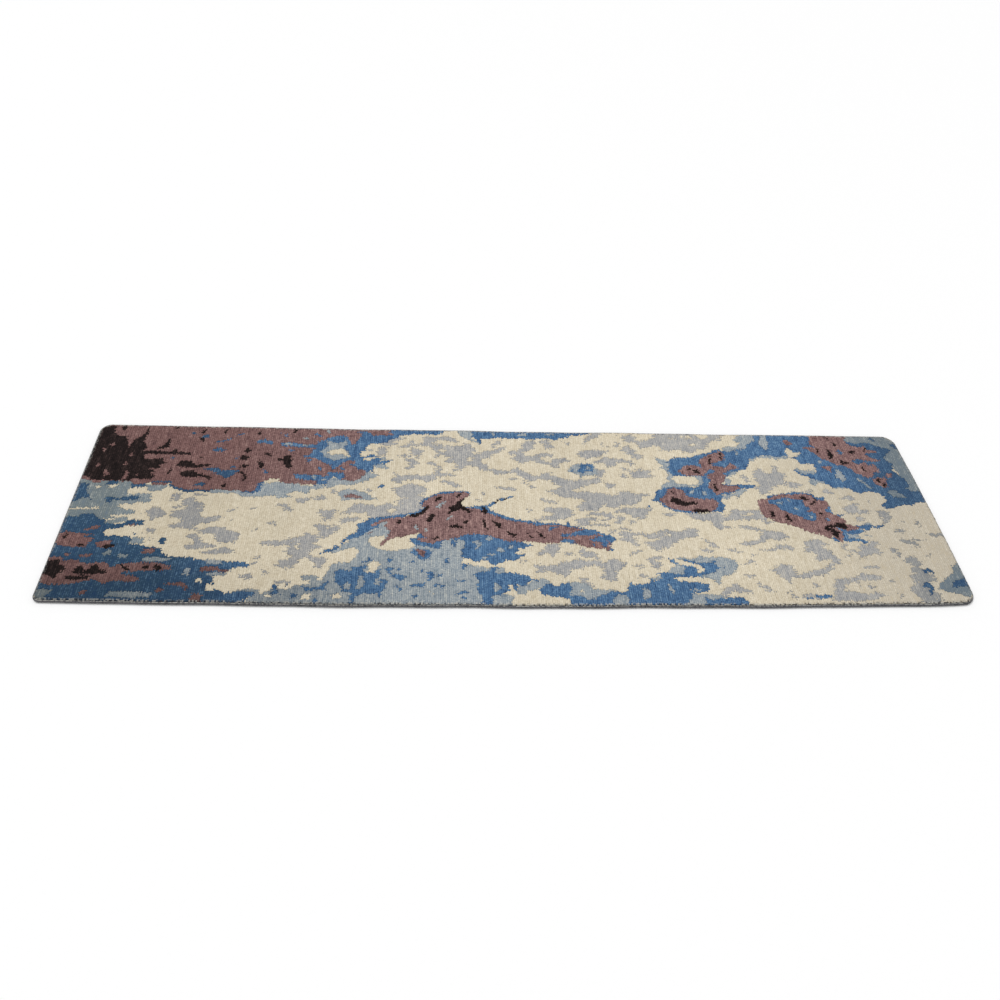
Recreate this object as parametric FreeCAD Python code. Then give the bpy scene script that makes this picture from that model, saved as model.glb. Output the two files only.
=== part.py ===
import FreeCAD, Part
import math
import os

os.makedirs("parts", exist_ok=True)

# Hand-knotted wool runner. Millimetres, +Z up. The origin is under the middle of the rug,
# on the plane it lies on; +X runs along its length and +Y across it, away from the front edge.

LENGTH = 3000.0
WIDTH = 800.0
CORNER_FRONT_LEFT = 25.0
CORNER_FRONT_RIGHT = 45.0
CORNER_BACK_RIGHT = 48.0
CORNER_BACK_LEFT = 40.0
CORNER_STEPS = 5

WEFT_TOP = 1.2
WARP_TOP = 3.0
PILE_TOP = 13.0
KNOT_ROW = 4.0
WARP_PITCH = 4.0
WEFT_WIDTH = 3.2
WARP_WIDTH = 2.6

EDGE_WIDTH = 8.0
EDGE_HEIGHT = 10.0
EDGE_CHAMFER = 2.0
EDGE_GAP = 0.2
CORD_SIZE = 4.4

WEB_LENGTH = 24.0
STITCH_PITCH = 20.0
STITCH_LENGTH = 9.0
STITCH_WIDTH = 1.2
STITCH_DEPTH = 0.5

SMALLEST_FIELD = 20.0

# Centimetres on the drawing below, and how much it moves for each metre from the middle.
BORDER = 0.35
OVERRUN = 3.0
DRAWING_SHIFT = 0.3
DRAWING_STRETCH = 0.6
DRAWING_DRIFT = 0.35
FRONT_BOW = 1.8
FRONT_CURVE = 0.3

# The weaver's drawing. Every outline is one patch of a yarn colour, in centimetres from the
# front left corner of the rug: along the length, then across it. Later layers cover earlier ones.

GREY_MOTTLES = [
    [(95, 40.5), (119, 41), (116, 38), (111, 36), (104, 34.5), (100.5, 35), (98.3, 37.5), (93, 37),
     (90.2, 36.3), (92, 38.5)],
    [(25, 36.5), (27, 38.5), (30, 38), (32.5, 35.5), (31, 34), (28, 32.5), (27, 34.5)],
    [(36.5, 40), (37, 42.6), (38.5, 43.2), (40, 42.8), (40.6, 41.6), (42, 41.2), (43.5, 40.2),
     (43.2, 38.5), (44.5, 37), (43.8, 35.4), (44.6, 33.8), (47, 34.2), (49.4, 35), (50.6, 33.8),
     (49, 32.2), (46.5, 31.2), (44.6, 31.7), (43, 30.5), (43.8, 28.9), (41.5, 28.2), (38.4, 29.6),
     (35.4, 29), (35, 30.8), (37.8, 31.6), (38.5, 33.1), (36.5, 34), (34, 34.4), (34.4, 36.8),
     (37.8, 37.4), (38.8, 38.6)],
    [(44.6, 28.4), (46.6, 29.2), (49, 30.2), (52, 29.8), (54.5, 28.7), (58, 27.2), (57.4, 25),
     (56.6, 23.3), (53, 22.6), (50.6, 24), (50.4, 26), (48.4, 26.8), (45, 27.2)],
    [(40, 21.5), (42.1, 22.3), (44.4, 24.1), (41, 25.7), (42.6, 26.9), (45.6, 25.6), (46.5, 23.6),
     (48.1, 22.3), (51, 21.9), (50.2, 20.9), (47, 21.2), (45.8, 20.1), (42, 20.7)],
    [(46.2, 18.8), (48.4, 19.6), (52, 20.3), (54.4, 21.3), (56.2, 20.4), (59, 19.6), (55.4, 18.5),
     (51, 18.2)],
    [(27.5, 27), (28, 29), (30.5, 28.8), (30, 27.2)],
    [(29.5, 23.8), (30, 24.6), (30.6, 24)],
    [(52, 36.5), (53.5, 38), (56, 38.5), (54.5, 37)],
    [(54.5, 32.8), (55, 33.8), (55.8, 33)],
    [(33, 38.2), (35, 39.5), (38.5, 39.2), (36, 38)],
    [(32.4, 43.4), (34, 44.9), (35.8, 44.6), (35, 43.2), (35.1, 41.6), (33.5, 41.2)],
    [(37, 41), (37.5, 43.5), (40, 43), (41, 41.5)],
    [(39, 44), (40, 45), (43.8, 45), (43, 44.2)],
    [(60, 38), (60.3, 39), (61.5, 38.6), (61.3, 37.8)],
    [(60, 9.5), (61, 8.5), (62.7, 8.2), (63, 7), (63.5, 8.5), (64.6, 9.5), (64, 11), (63.2, 9.8)],
    [(62, 14), (64, 15), (66.3, 15.3), (66, 14.5), (63.5, 13.9)],
    [(67, 12.3), (68.2, 12), (69.8, 10.4), (69.5, 9.8), (67.3, 11.3)],
    [(63.8, 17.5), (66, 17.8), (66, 16.5), (65, 16.2)],
    [(66.3, 31.7), (67.2, 32.8), (68.5, 32.5), (70.1, 31.6), (69, 31.2)],
    [(61.2, 28.3), (62, 29.7), (63, 29.5), (62.8, 28.3)],
    [(67.8, 41), (72, 40.8), (73.5, 38.3), (72.5, 37.6), (70.5, 38.8)],
    [(71.8, 7), (73, 8), (76.8, 7.9), (76.5, 6.8), (74, 6.7)],
    [(79.5, 28), (81, 27.2), (83.5, 27), (84, 25.4), (82.3, 23.5), (84.5, 22.5), (84, 21),
     (82, 20), (82, 18.5), (84, 17.5), (87, 17.5), (87.5, 16), (86, 14.5), (85.5, 13), (83.5, 13.5),
     (83, 15.5), (82, 16.8), (79, 16.8), (77.5, 15), (77, 13), (75, 13.5), (75, 11.5), (73.5, 13.5),
     (70.5, 14), (73, 16), (75, 16.2), (75, 18), (73, 20), (74.5, 21.5), (73.5, 23), (70, 22),
     (67, 22.5), (64.3, 23.2), (67.5, 24.5), (73, 24), (73.5, 25), (77, 26), (79, 26.8)],
    [(81.5, 31.8), (84, 32), (86.3, 31.8), (86.5, 30), (88.5, 31.5), (90.3, 31.2), (90.2, 29.5),
     (89, 28.5), (88, 27), (86, 25.8), (84.3, 25.5), (84, 28), (83.5, 29.5), (82.3, 30)],
    [(82.6, 37), (83, 38.5), (86, 38), (88.5, 39), (88, 36), (87, 34.5), (85, 33.5), (83.5, 33),
     (84.3, 35)],
    [(89.5, 34), (93, 35), (98, 35.2), (97, 34), (93.5, 33), (91, 32), (90.3, 33.4)],
    [(73.5, 43), (78, 43.8), (81, 43.9), (82.5, 45), (84.4, 45.2), (84.2, 43.2), (80.5, 43.4),
     (78, 42.8), (77.3, 41.3), (76, 41.4), (74, 42.5)],
    [(85.6, 47), (86.6, 48.3), (87.6, 47.6), (87.3, 46.4), (86, 46.3)],
    [(93, 39.5), (94, 41.5), (97, 41.8), (98.5, 41), (98, 39.5)],
    [(103, 40.3), (106, 42), (108, 41), (107, 39.8), (104, 39.5)],
    [(97, 48), (98.5, 49), (100, 48.6), (99.5, 47.2), (97.5, 47.5)],
    [(97.1, 68), (97.5, 68.9), (99.2, 68.6), (98.5, 67.8)],
    [(100.5, 67), (101.5, 69.2), (103, 69.8), (104.7, 69.3), (104.7, 66.8), (102.7, 65.4)],
    [(101.2, 71.3), (101.5, 72), (104.8, 73.2), (106, 75.2), (109, 75.4), (110, 74), (106.5, 72.8),
     (108, 71.3), (105, 70.8)],
    [(108.5, 70), (112, 71.8), (116, 71.8), (118, 72.8), (117, 75), (118.5, 76), (121, 75.5),
     (126, 76), (129.5, 74.5), (129.7, 72.8), (126.5, 73.8), (123, 74.4), (121, 72), (124, 71.2),
     (124.3, 72.3), (125, 71), (131.5, 70.8), (132.3, 73), (133.5, 72.5), (135.2, 69.8), (137, 69.8),
     (137.2, 68.5), (135.3, 67.5), (135.5, 66.2), (137, 66.8), (138.5, 68.2), (142, 68.5),
     (143.5, 69.7), (148, 71), (148.5, 70.2), (146, 69), (145.8, 68), (143.5, 67), (141.8, 65),
     (138.8, 64.7), (138.8, 62), (141.8, 61.5), (141.5, 59.5), (143.5, 59), (149, 58.2),
     (149.5, 59.7), (151, 59.9), (153.5, 58.8), (155.3, 57.8), (157, 56), (159.5, 56.3), (160, 57.3),
     (163.5, 57.6), (165, 56), (168, 54.8), (171.5, 54), (174, 54.8), (177, 54), (180, 56), (183, 54),
     (182, 52.8), (176, 51.5), (174, 50.5), (171, 49.8), (172, 48.5), (176, 48.8), (178, 48),
     (183, 47.5), (184.5, 46.3), (187, 47), (189, 48.3), (191.5, 48.8), (193.5, 47.3), (199.5, 47.8),
     (198, 46.5), (195, 45), (194.5, 43.5), (193, 42), (187, 42), (186, 40.5), (183.5, 41),
     (182, 42.8), (181, 41.5), (179.5, 39), (172.5, 39.5), (171.8, 42), (174.5, 43), (175, 44.5),
     (172, 45.5), (168, 45.3), (166, 46.5), (162, 48.8), (164.5, 49.3), (168, 51), (164.8, 52),
     (164.3, 54), (160.5, 54), (158.5, 54.5), (156, 53.3), (153.5, 55), (152, 56.3), (150.5, 57.5),
     (147.5, 57), (144.5, 56.3), (143, 57.8), (138, 59), (135.3, 60.8), (132.5, 60.3), (130.8, 58),
     (128.7, 58), (129.8, 60), (129.5, 62.5), (126, 62.2), (126, 64), (128, 65.2), (125.5, 65.2),
     (124, 66.3), (122.5, 63.8), (121.5, 66), (122.3, 67.5), (121, 69.3), (117.5, 71), (113, 70.5),
     (110, 69.5)],
    [(112, 69.6), (114, 69.8), (116, 69), (117.8, 68), (117, 66), (115, 65.4), (113.5, 67)],
    [(111.4, 72.6), (112, 73.8), (113.8, 73), (113, 72)],
    [(108.7, 65.2), (110, 66.3), (112.8, 66), (112.3, 64.9)],
    [(114.4, 64.5), (115.5, 65.3), (116.7, 64.8), (115.8, 64.1)],
    [(111, 64), (112.5, 64.3), (115, 63), (115.3, 61), (114, 58.6), (111.5, 58.5), (110.5, 59.5),
     (113, 60.5), (112, 62)],
    [(119.5, 63.2), (122.5, 61.5), (123.3, 60), (123.5, 58), (124.3, 56.8), (128, 56.8),
     (128.8, 55.3), (124, 55.5), (121.8, 54.8), (122, 53.6), (119, 52.2), (116, 53.3), (110, 52.8),
     (109.8, 51), (107.8, 51.5), (106.3, 53), (107.3, 54.5), (106.6, 57.6), (107.7, 56), (110, 55),
     (113, 56), (117, 55.2), (121.5, 56.4), (121.5, 59), (121.8, 60.2), (120, 61.5)],
    [(107, 49), (110, 50), (113.5, 51.5), (115.5, 50.3), (119, 50.3), (118.3, 48), (119, 46.5),
     (116, 45.5), (119, 44.7), (117.5, 43), (116.5, 41), (115, 40), (109.5, 40), (110, 41.8),
     (109, 43), (112, 44.3), (109, 44.8), (108.7, 46.8)],
    [(124.5, 53), (127, 53), (129, 51.5), (131, 50.3), (129, 49.8), (127, 51), (125, 51.8)],
    [(142.2, 71), (143.5, 73.3), (146, 74.2), (147, 73.3), (145.5, 72.3), (144, 71.8), (142.8, 70)],
    [(154, 71.5), (155.5, 74), (157.2, 74.8), (159.3, 74.3), (159.5, 73), (158, 72.3), (159, 70.3),
     (157, 69.5), (155.8, 68.7), (154, 69), (153.8, 68), (154.3, 66.3), (158.5, 66.3), (160, 68),
     (162, 68), (165.5, 66.8), (165, 66), (160.5, 66), (160.5, 65), (163, 63.5), (165, 63.8),
     (166.5, 65.3), (170, 65.2), (171.5, 64), (168.5, 63.3), (166.8, 61.5), (165.7, 59.9),
     (164.8, 60.8), (164, 62.2), (160, 62.5), (158.3, 63.5), (154.3, 63.8), (153.3, 62),
     (151.5, 63.5), (150, 65), (151.5, 66.5), (148.5, 67.5), (149, 68.8), (152, 69), (154, 70.5)],
    [(161.3, 74), (163, 75.3), (164.7, 74.8), (164.5, 73), (166.3, 71.5), (163, 70), (162.3, 70.3),
     (162.8, 71.5), (161.8, 72.3)],
    [(169.5, 75.5), (170.7, 73.6), (172, 74.3), (172.8, 73.6), (171.8, 72.8), (170.3, 73.2)],
    [(177.5, 73), (178, 76), (180, 78), (183.5, 79), (184.3, 77.5), (181.5, 76), (179.5, 75.5),
     (178.3, 73.2)],
    [(174, 68.5), (176.5, 69.6), (184.5, 69.5), (187, 69), (184.8, 68.2), (182.5, 65.8), (179, 66),
     (176.5, 64.5), (176, 66), (175, 66.8)],
    [(159.5, 45), (161, 45), (163, 44.2), (166, 43.5), (163.5, 42.5), (161, 43.2), (160, 43.8)],
    [(143.5, 50.3), (146.5, 50.5), (149, 50), (151.3, 49.5), (149, 48.5), (147.5, 49.3), (145, 49.6)],
    [(147, 54.3), (150, 55), (151.5, 54.5), (150, 53.7)],
    [(154, 54), (155, 52.5), (156.3, 51), (157.7, 50.3), (155.5, 50), (154.8, 51.5), (153.8, 52.5)],
    [(138.5, 47), (139.5, 47.3), (140, 46), (139, 45.8)],
    [(137.5, 44), (138.5, 44.2), (139, 43), (138, 43.2)],
    [(159.5, 38.8), (161.5, 40.5), (169, 40.5), (170, 38), (168.5, 36), (166.5, 35.5), (163, 34),
     (162, 35), (158.5, 34.5), (156.5, 33.8), (156, 35), (158.5, 35.5), (162, 37), (163.5, 38)],
    [(154, 38.5), (154.6, 40), (155.6, 39.8), (155.2, 38.4)],
    [(171.3, 32.3), (171.5, 35.5), (174, 36.3), (177, 36), (179, 35), (183, 35.3), (183, 34.5),
     (176, 34.6), (175.2, 33.2), (183, 33), (183, 32.2)],
    [(175, 37.3), (176.5, 38.5), (180, 38.5), (184, 38.3), (184.3, 36.3), (182.5, 35), (181, 37)],
]

GREY_MOTTLES_RIGHT = [
    [(155.8, 19.5), (158.5, 21), (160.8, 24.2), (163.5, 24.5), (164, 22.5), (163, 20.5), (162, 18.3),
     (161, 20), (159.5, 20), (157, 19)],
    [(165, 20.2), (168, 20.8), (169, 20), (168.5, 19.2), (166, 19.3)],
    [(170.5, 19), (171.5, 22), (173, 22.5), (172.5, 20.5), (175, 21), (177, 20), (177.5, 18),
     (176, 17), (175.5, 19), (173, 18.2)],
    [(150.5, 16), (151, 17.5), (152, 16.8), (151, 15)],
    [(155.5, 11.8), (155.5, 15.2), (159, 14.5), (162.5, 15.2), (168, 17), (170.5, 18), (171.5, 16.8),
     (174, 17), (178, 16.5), (177, 15), (172, 14.5), (170, 13.3), (167, 13), (165.8, 11), (165, 9.5),
     (164, 11), (160, 12.5), (158.5, 13.2), (158, 11.5)],
    [(176.5, 15.5), (178.5, 13), (177.5, 10), (179, 8.5), (182, 8.5), (182.5, 12), (185, 14),
     (187.5, 15), (184.5, 16), (184, 17.5), (180, 17.5), (180, 16)],
    [(169.5, 9.8), (171.5, 9.8), (172.5, 8), (174, 7), (172, 6), (170.5, 8)],
    [(180.5, 77), (181, 79.5), (184, 79.5), (184.3, 77.5), (182, 77)],
    [(191, 77.5), (193, 77), (195, 78), (197, 78.3), (197.8, 75), (203, 75.5), (205, 78), (207, 79.5),
     (221, 79.5), (221.5, 77.5), (224.5, 76.5), (226, 78), (228, 79.5), (234, 79.5), (230.5, 77.3),
     (230.5, 76), (227.5, 76), (224.8, 73), (224, 71), (220.8, 71.5), (219.5, 69.5), (215.5, 69),
     (213.5, 70.8), (210, 70), (207, 69.8), (208, 71.5), (204, 72.8), (199, 71), (198, 73),
     (196.5, 74.5), (194.5, 73.8)],
    [(189.5, 72), (190, 74), (191.3, 74), (191.5, 72.5), (190.5, 71.5)],
    [(184.6, 74.3), (185.3, 74), (186.5, 71.5), (185.8, 71.3)],
    [(192, 70), (192.5, 71.5), (194, 72.5), (196, 71), (196, 68.5), (199.5, 66.5), (198.5, 65.5),
     (196.8, 65), (195, 67), (193, 68)],
    [(180, 63.5), (182, 64.3), (184, 65.3), (186, 66), (188, 65), (192, 65), (194, 64.2), (196, 62.3),
     (194, 61.8), (192, 63.3), (188.5, 63), (187.8, 61.5), (186, 60.8), (183, 63), (180, 62.8)],
    [(189, 61), (192.5, 60), (193, 58.7), (195.5, 58.5), (196, 59.8), (198.5, 61.3), (197.5, 59),
     (202, 59.5), (199.5, 57.8), (202, 57), (201.8, 56), (196, 55.2), (193.5, 55.5), (193, 57.5)],
    [(188.8, 56.8), (190.5, 57), (191.8, 56), (191.5, 55), (190.3, 55.3)],
    [(181, 60), (183.8, 59.3), (183.3, 58), (183.8, 56.5), (181, 55.3), (180, 57)],
    [(183, 51.5), (184, 53), (187.5, 51.5), (186, 50.3), (184, 50)],
    [(213.3, 52.8), (213.3, 55), (214.5, 54.5), (215, 52.8)],
    [(185, 37), (187, 36.8), (187.5, 35.3), (186.5, 33), (185, 33), (185.6, 34.5)],
    [(185.5, 38.3), (188, 38.5), (190, 37.3), (190.5, 36), (192.8, 36), (193.8, 34.4), (195.5, 36.8),
     (197, 38.5), (198.5, 39), (198.5, 40.5), (187.5, 40.5)],
    [(189, 33.5), (190.5, 34.8), (191.5, 34), (190.5, 33)],
    [(185.8, 31), (187.5, 31.3), (188.5, 30.5), (187, 30.2)],
    [(202, 38), (204.5, 38.5), (207.3, 38.3), (205.5, 37.2), (203.8, 37)],
    [(209.5, 38.3), (217, 38.2), (220, 38.5), (221.5, 40), (222.5, 38.5), (224.5, 37.2), (226, 38.5),
     (227.5, 40.3), (238, 40.3), (237.5, 37.5), (239.5, 34.8), (242, 34.5), (238, 33.4), (237, 35),
     (234.5, 36), (226, 35.5), (223, 34.8), (222.8, 33), (225.8, 31.8), (221, 31), (218.3, 32.8),
     (219.3, 34.5), (216, 35), (213.3, 35.3), (212, 36.8)],
    [(227, 31.8), (229.5, 33), (232, 33), (234, 32), (238.5, 30.5), (242.5, 30), (244.5, 28),
     (242, 26), (239.5, 26.5), (237, 26.5), (235.3, 25.3), (232, 24.5), (230, 23.5), (226.5, 24.8),
     (228.5, 26), (230.5, 25.3), (233.5, 26.8), (235.8, 27.5), (235.3, 29), (236, 30), (231.5, 31.3)],
    [(181.5, 29), (183, 30.5), (184.3, 30), (183, 28.8)],
    [(184.5, 28.3), (186.5, 29.8), (190, 29.3), (197, 28.5), (201, 30.5), (204, 30.5), (207, 29.5),
     (209.3, 32.3), (210.3, 31), (212, 31.5), (214, 30.3), (212, 27.5), (207.5, 26.8), (205, 26),
     (202, 23), (201, 21.5), (200.5, 23.5), (197.2, 20.3), (195, 22.5), (193.8, 24.8), (198.5, 25.8),
     (200, 27.3), (195.5, 26.2), (192, 28), (189.8, 27.8), (191.5, 24), (190.5, 23), (188, 25),
     (184.5, 25.9), (187.5, 27.5)],
    [(186.5, 19.6), (189, 20.5), (190, 21.5), (192, 21.5), (190.5, 20), (188, 19.2)],
    [(193.5, 16), (194, 17.5), (196, 18.3), (198, 19.3), (199, 19), (195.8, 16.5), (198, 15.8),
     (196.5, 15), (197.2, 12.8), (195.5, 14)],
    [(189, 15), (191.8, 15), (191.5, 13.8), (190.5, 12.7), (189.8, 13.8)],
    [(188.5, 10.5), (190.5, 11.2), (192, 11), (192, 10), (190, 9.7)],
    [(213.5, 26.4), (215, 26.6), (216.5, 25), (219, 24.2), (218, 22.8), (216, 23.8), (214.5, 25.5)],
    [(211.8, 22), (213, 22.3), (216.5, 21.8), (216, 20.3), (214, 20.5)],
    [(222, 22), (223.5, 22.3), (226.3, 20.8), (225.5, 20.3), (223.5, 21.2)],
    [(226, 16), (227.5, 17.7), (230, 17.6), (229, 16), (227.5, 15.8)],
    [(229, 19.5), (230.5, 20.5), (232, 20.2), (230, 19.3)],
    [(230.5, 22.5), (234, 22), (238, 22.8), (240, 24), (242, 24.5), (243.5, 23.5), (245, 21.8),
     (243.5, 21.2), (242.3, 22.5), (239, 22), (234, 21.3)],
    [(233.5, 13.5), (235.5, 13.5), (237, 15), (239.5, 16), (242, 14.5), (243.5, 12.5), (243.5, 11),
     (248, 12.2), (251.5, 13.8), (253.5, 13.5), (255, 15), (257.5, 16.8), (257.5, 17.8), (253, 17.3),
     (251, 18), (252.5, 19.5), (250.3, 20.8), (248.5, 21.5), (250, 22.5), (249.5, 25), (253, 26.5),
     (255.5, 26.8), (257.8, 24.5), (255.3, 24), (256, 22.3), (258, 21), (258, 19), (259.5, 18.5),
     (260.3, 16), (257.5, 15), (254, 12.3), (252, 10.8), (249, 11), (247.5, 10), (245, 9.8),
     (241, 10), (239, 7.5), (238, 9.5), (235.3, 12.8)],
    [(225.2, 11.5), (229, 11.3), (228, 10.2), (225.3, 10)],
    [(228.8, 8), (229.5, 9.3), (230.5, 7.5), (234.3, 4.5), (232, 4.3), (229.5, 7.3)],
    [(216, 5), (219, 6), (221.3, 7.8), (223.5, 7.8), (222, 5.7), (226.5, 4.8), (225.5, 3.5),
     (219, 4.5), (217.5, 2), (215.5, 2.3)],
    [(238.5, 4.8), (239.5, 4.8), (239.8, 3), (241.3, 1.3), (240, 1.5), (238.5, 3.3)],
    [(240, 59), (242.5, 61), (244, 59), (246, 58), (247.2, 59.5), (247.5, 62.5), (249, 62.8),
     (249.8, 58.5), (252, 59), (252.5, 58), (250.5, 56), (249.5, 53), (244.5, 51.3), (245, 50.5),
     (243, 48.5), (240, 47.5), (238.8, 50), (240, 53), (239.3, 56)],
    [(233.5, 56.5), (235, 58), (237, 56), (236.5, 54), (235, 55.5)],
    [(250.3, 54), (253, 54.3), (256.5, 52.8), (255, 51.2), (252.5, 51), (250.5, 52.5)],
    [(255.5, 49.8), (259.5, 50.6), (258.5, 49), (256, 49)],
    [(262.5, 50), (264.5, 51), (268, 48.8), (266.5, 48), (264.5, 49)],
    [(268.8, 46), (272.5, 47.8), (274.5, 46.8), (274.5, 45.5), (272, 45)],
    [(268.5, 41.5), (272.3, 43.5), (274.5, 43.5), (274.3, 41), (278, 40), (277, 38.8), (269.5, 38.6)],
    [(278.5, 44.3), (279.5, 45.3), (280.3, 44.5), (279.5, 43.6)],
    [(280.5, 40.5), (281, 36.3), (280.5, 35), (281.8, 34), (285, 36.5), (285, 40)],
    [(272, 36.8), (274, 37.5), (275, 37), (273.5, 34.8), (272, 35.3)],
    [(261, 24.2), (263, 24.5), (265, 22), (267, 21), (268.5, 21.5), (269, 24.3), (272.5, 24),
     (273.5, 26), (275, 26), (277, 25.5), (274.5, 23), (276.5, 20), (272.5, 20), (270, 19.5),
     (268, 17.8), (266.8, 20.3), (263.8, 21.5)],
    [(263, 19), (264, 20.5), (265, 19)],
    [(285, 30), (285.3, 31.5), (287.5, 32), (286, 29.5)],
    [(293.3, 32.3), (293.5, 34.5), (294.3, 36), (295.5, 34), (294, 33.3)],
    [(288, 34), (289.5, 35.5), (289.5, 34.3)],
    [(295.3, 30), (296.5, 29.3), (300, 30), (300, 28.8), (298, 28), (296.5, 28.4)],
    [(283.5, 26), (285.5, 27), (287.5, 25.8), (290, 24.8), (289, 22.8), (287.5, 24.4), (285, 25.3)],
    [(288, 26.8), (291, 27), (294.3, 26.5), (289.5, 26.2)],
    [(279, 22.5), (280, 23.3), (282, 21.5), (281.5, 19.5), (280, 18.3), (280.5, 20.5)],
    [(290.5, 19.3), (292, 20.5), (293, 20.3), (291, 18.6)],
    [(265.5, 13.8), (268, 14.8), (272.5, 15), (272.5, 13.9), (268, 13.8)],
    [(256, 9.5), (262, 9.8), (265.5, 11.8), (268, 11), (269.5, 11.8), (272.5, 10), (270, 9),
     (263.8, 8.8), (263, 6.3), (262, 8.3), (259, 7.8), (257, 5), (262, 4), (266.5, 3), (268, 4),
     (271, 2.8), (266, 0.5), (252, 0.5), (254.5, 5)],
    [(266.3, 6), (267.5, 7.3), (268.8, 6.5), (267.5, 5.2)],
    [(273.8, 8), (275.5, 9), (277, 9.7), (276, 8.3), (274.5, 7.3)],
    [(247, 6.8), (248.3, 7.6), (249.5, 6.3), (248, 5.8)],
    [(241.5, 2), (244, 3.3), (248, 3), (247, 1.2), (243.5, 1.2)],
    [(275, 2.5), (275.5, 3.8), (276.5, 2), (275.8, 1)],
    [(282.5, 17), (284, 18.8), (286.5, 19.2), (287.5, 17.5), (287, 13.5), (290, 11), (291.5, 9.5),
     (288, 8), (288, 3.5), (290.5, 3), (287, 0.3), (285, 0.3), (280, 4.5), (280.5, 6), (284.5, 7.8),
     (281, 8.5), (284.3, 12.5), (284.5, 15)],
]

IVORY_IN_GREY = [
    [(123.5, 68.5), (125.5, 69.7), (126, 68.5), (124.5, 67.5)],
    [(133.8, 64.8), (135.3, 64.8), (135.5, 63), (134, 62.5)],
    [(76.2, 20.5), (76.3, 23.5), (77, 24), (77.3, 22), (77.1, 20.3)],
    [(211.5, 76.3), (212, 77.5), (212.7, 76.3)],
    [(216.5, 77.6), (218.5, 78.5), (219.5, 77), (217.5, 76.8)],
    [(219, 74), (220, 74.5), (220.8, 73), (219.5, 72.5)],
    [(201.3, 28), (201.5, 29.5), (203.8, 28.8), (202.5, 28)],
    [(231, 37.8), (233.5, 39), (235.5, 38.3), (234, 37.3)],
]

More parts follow.
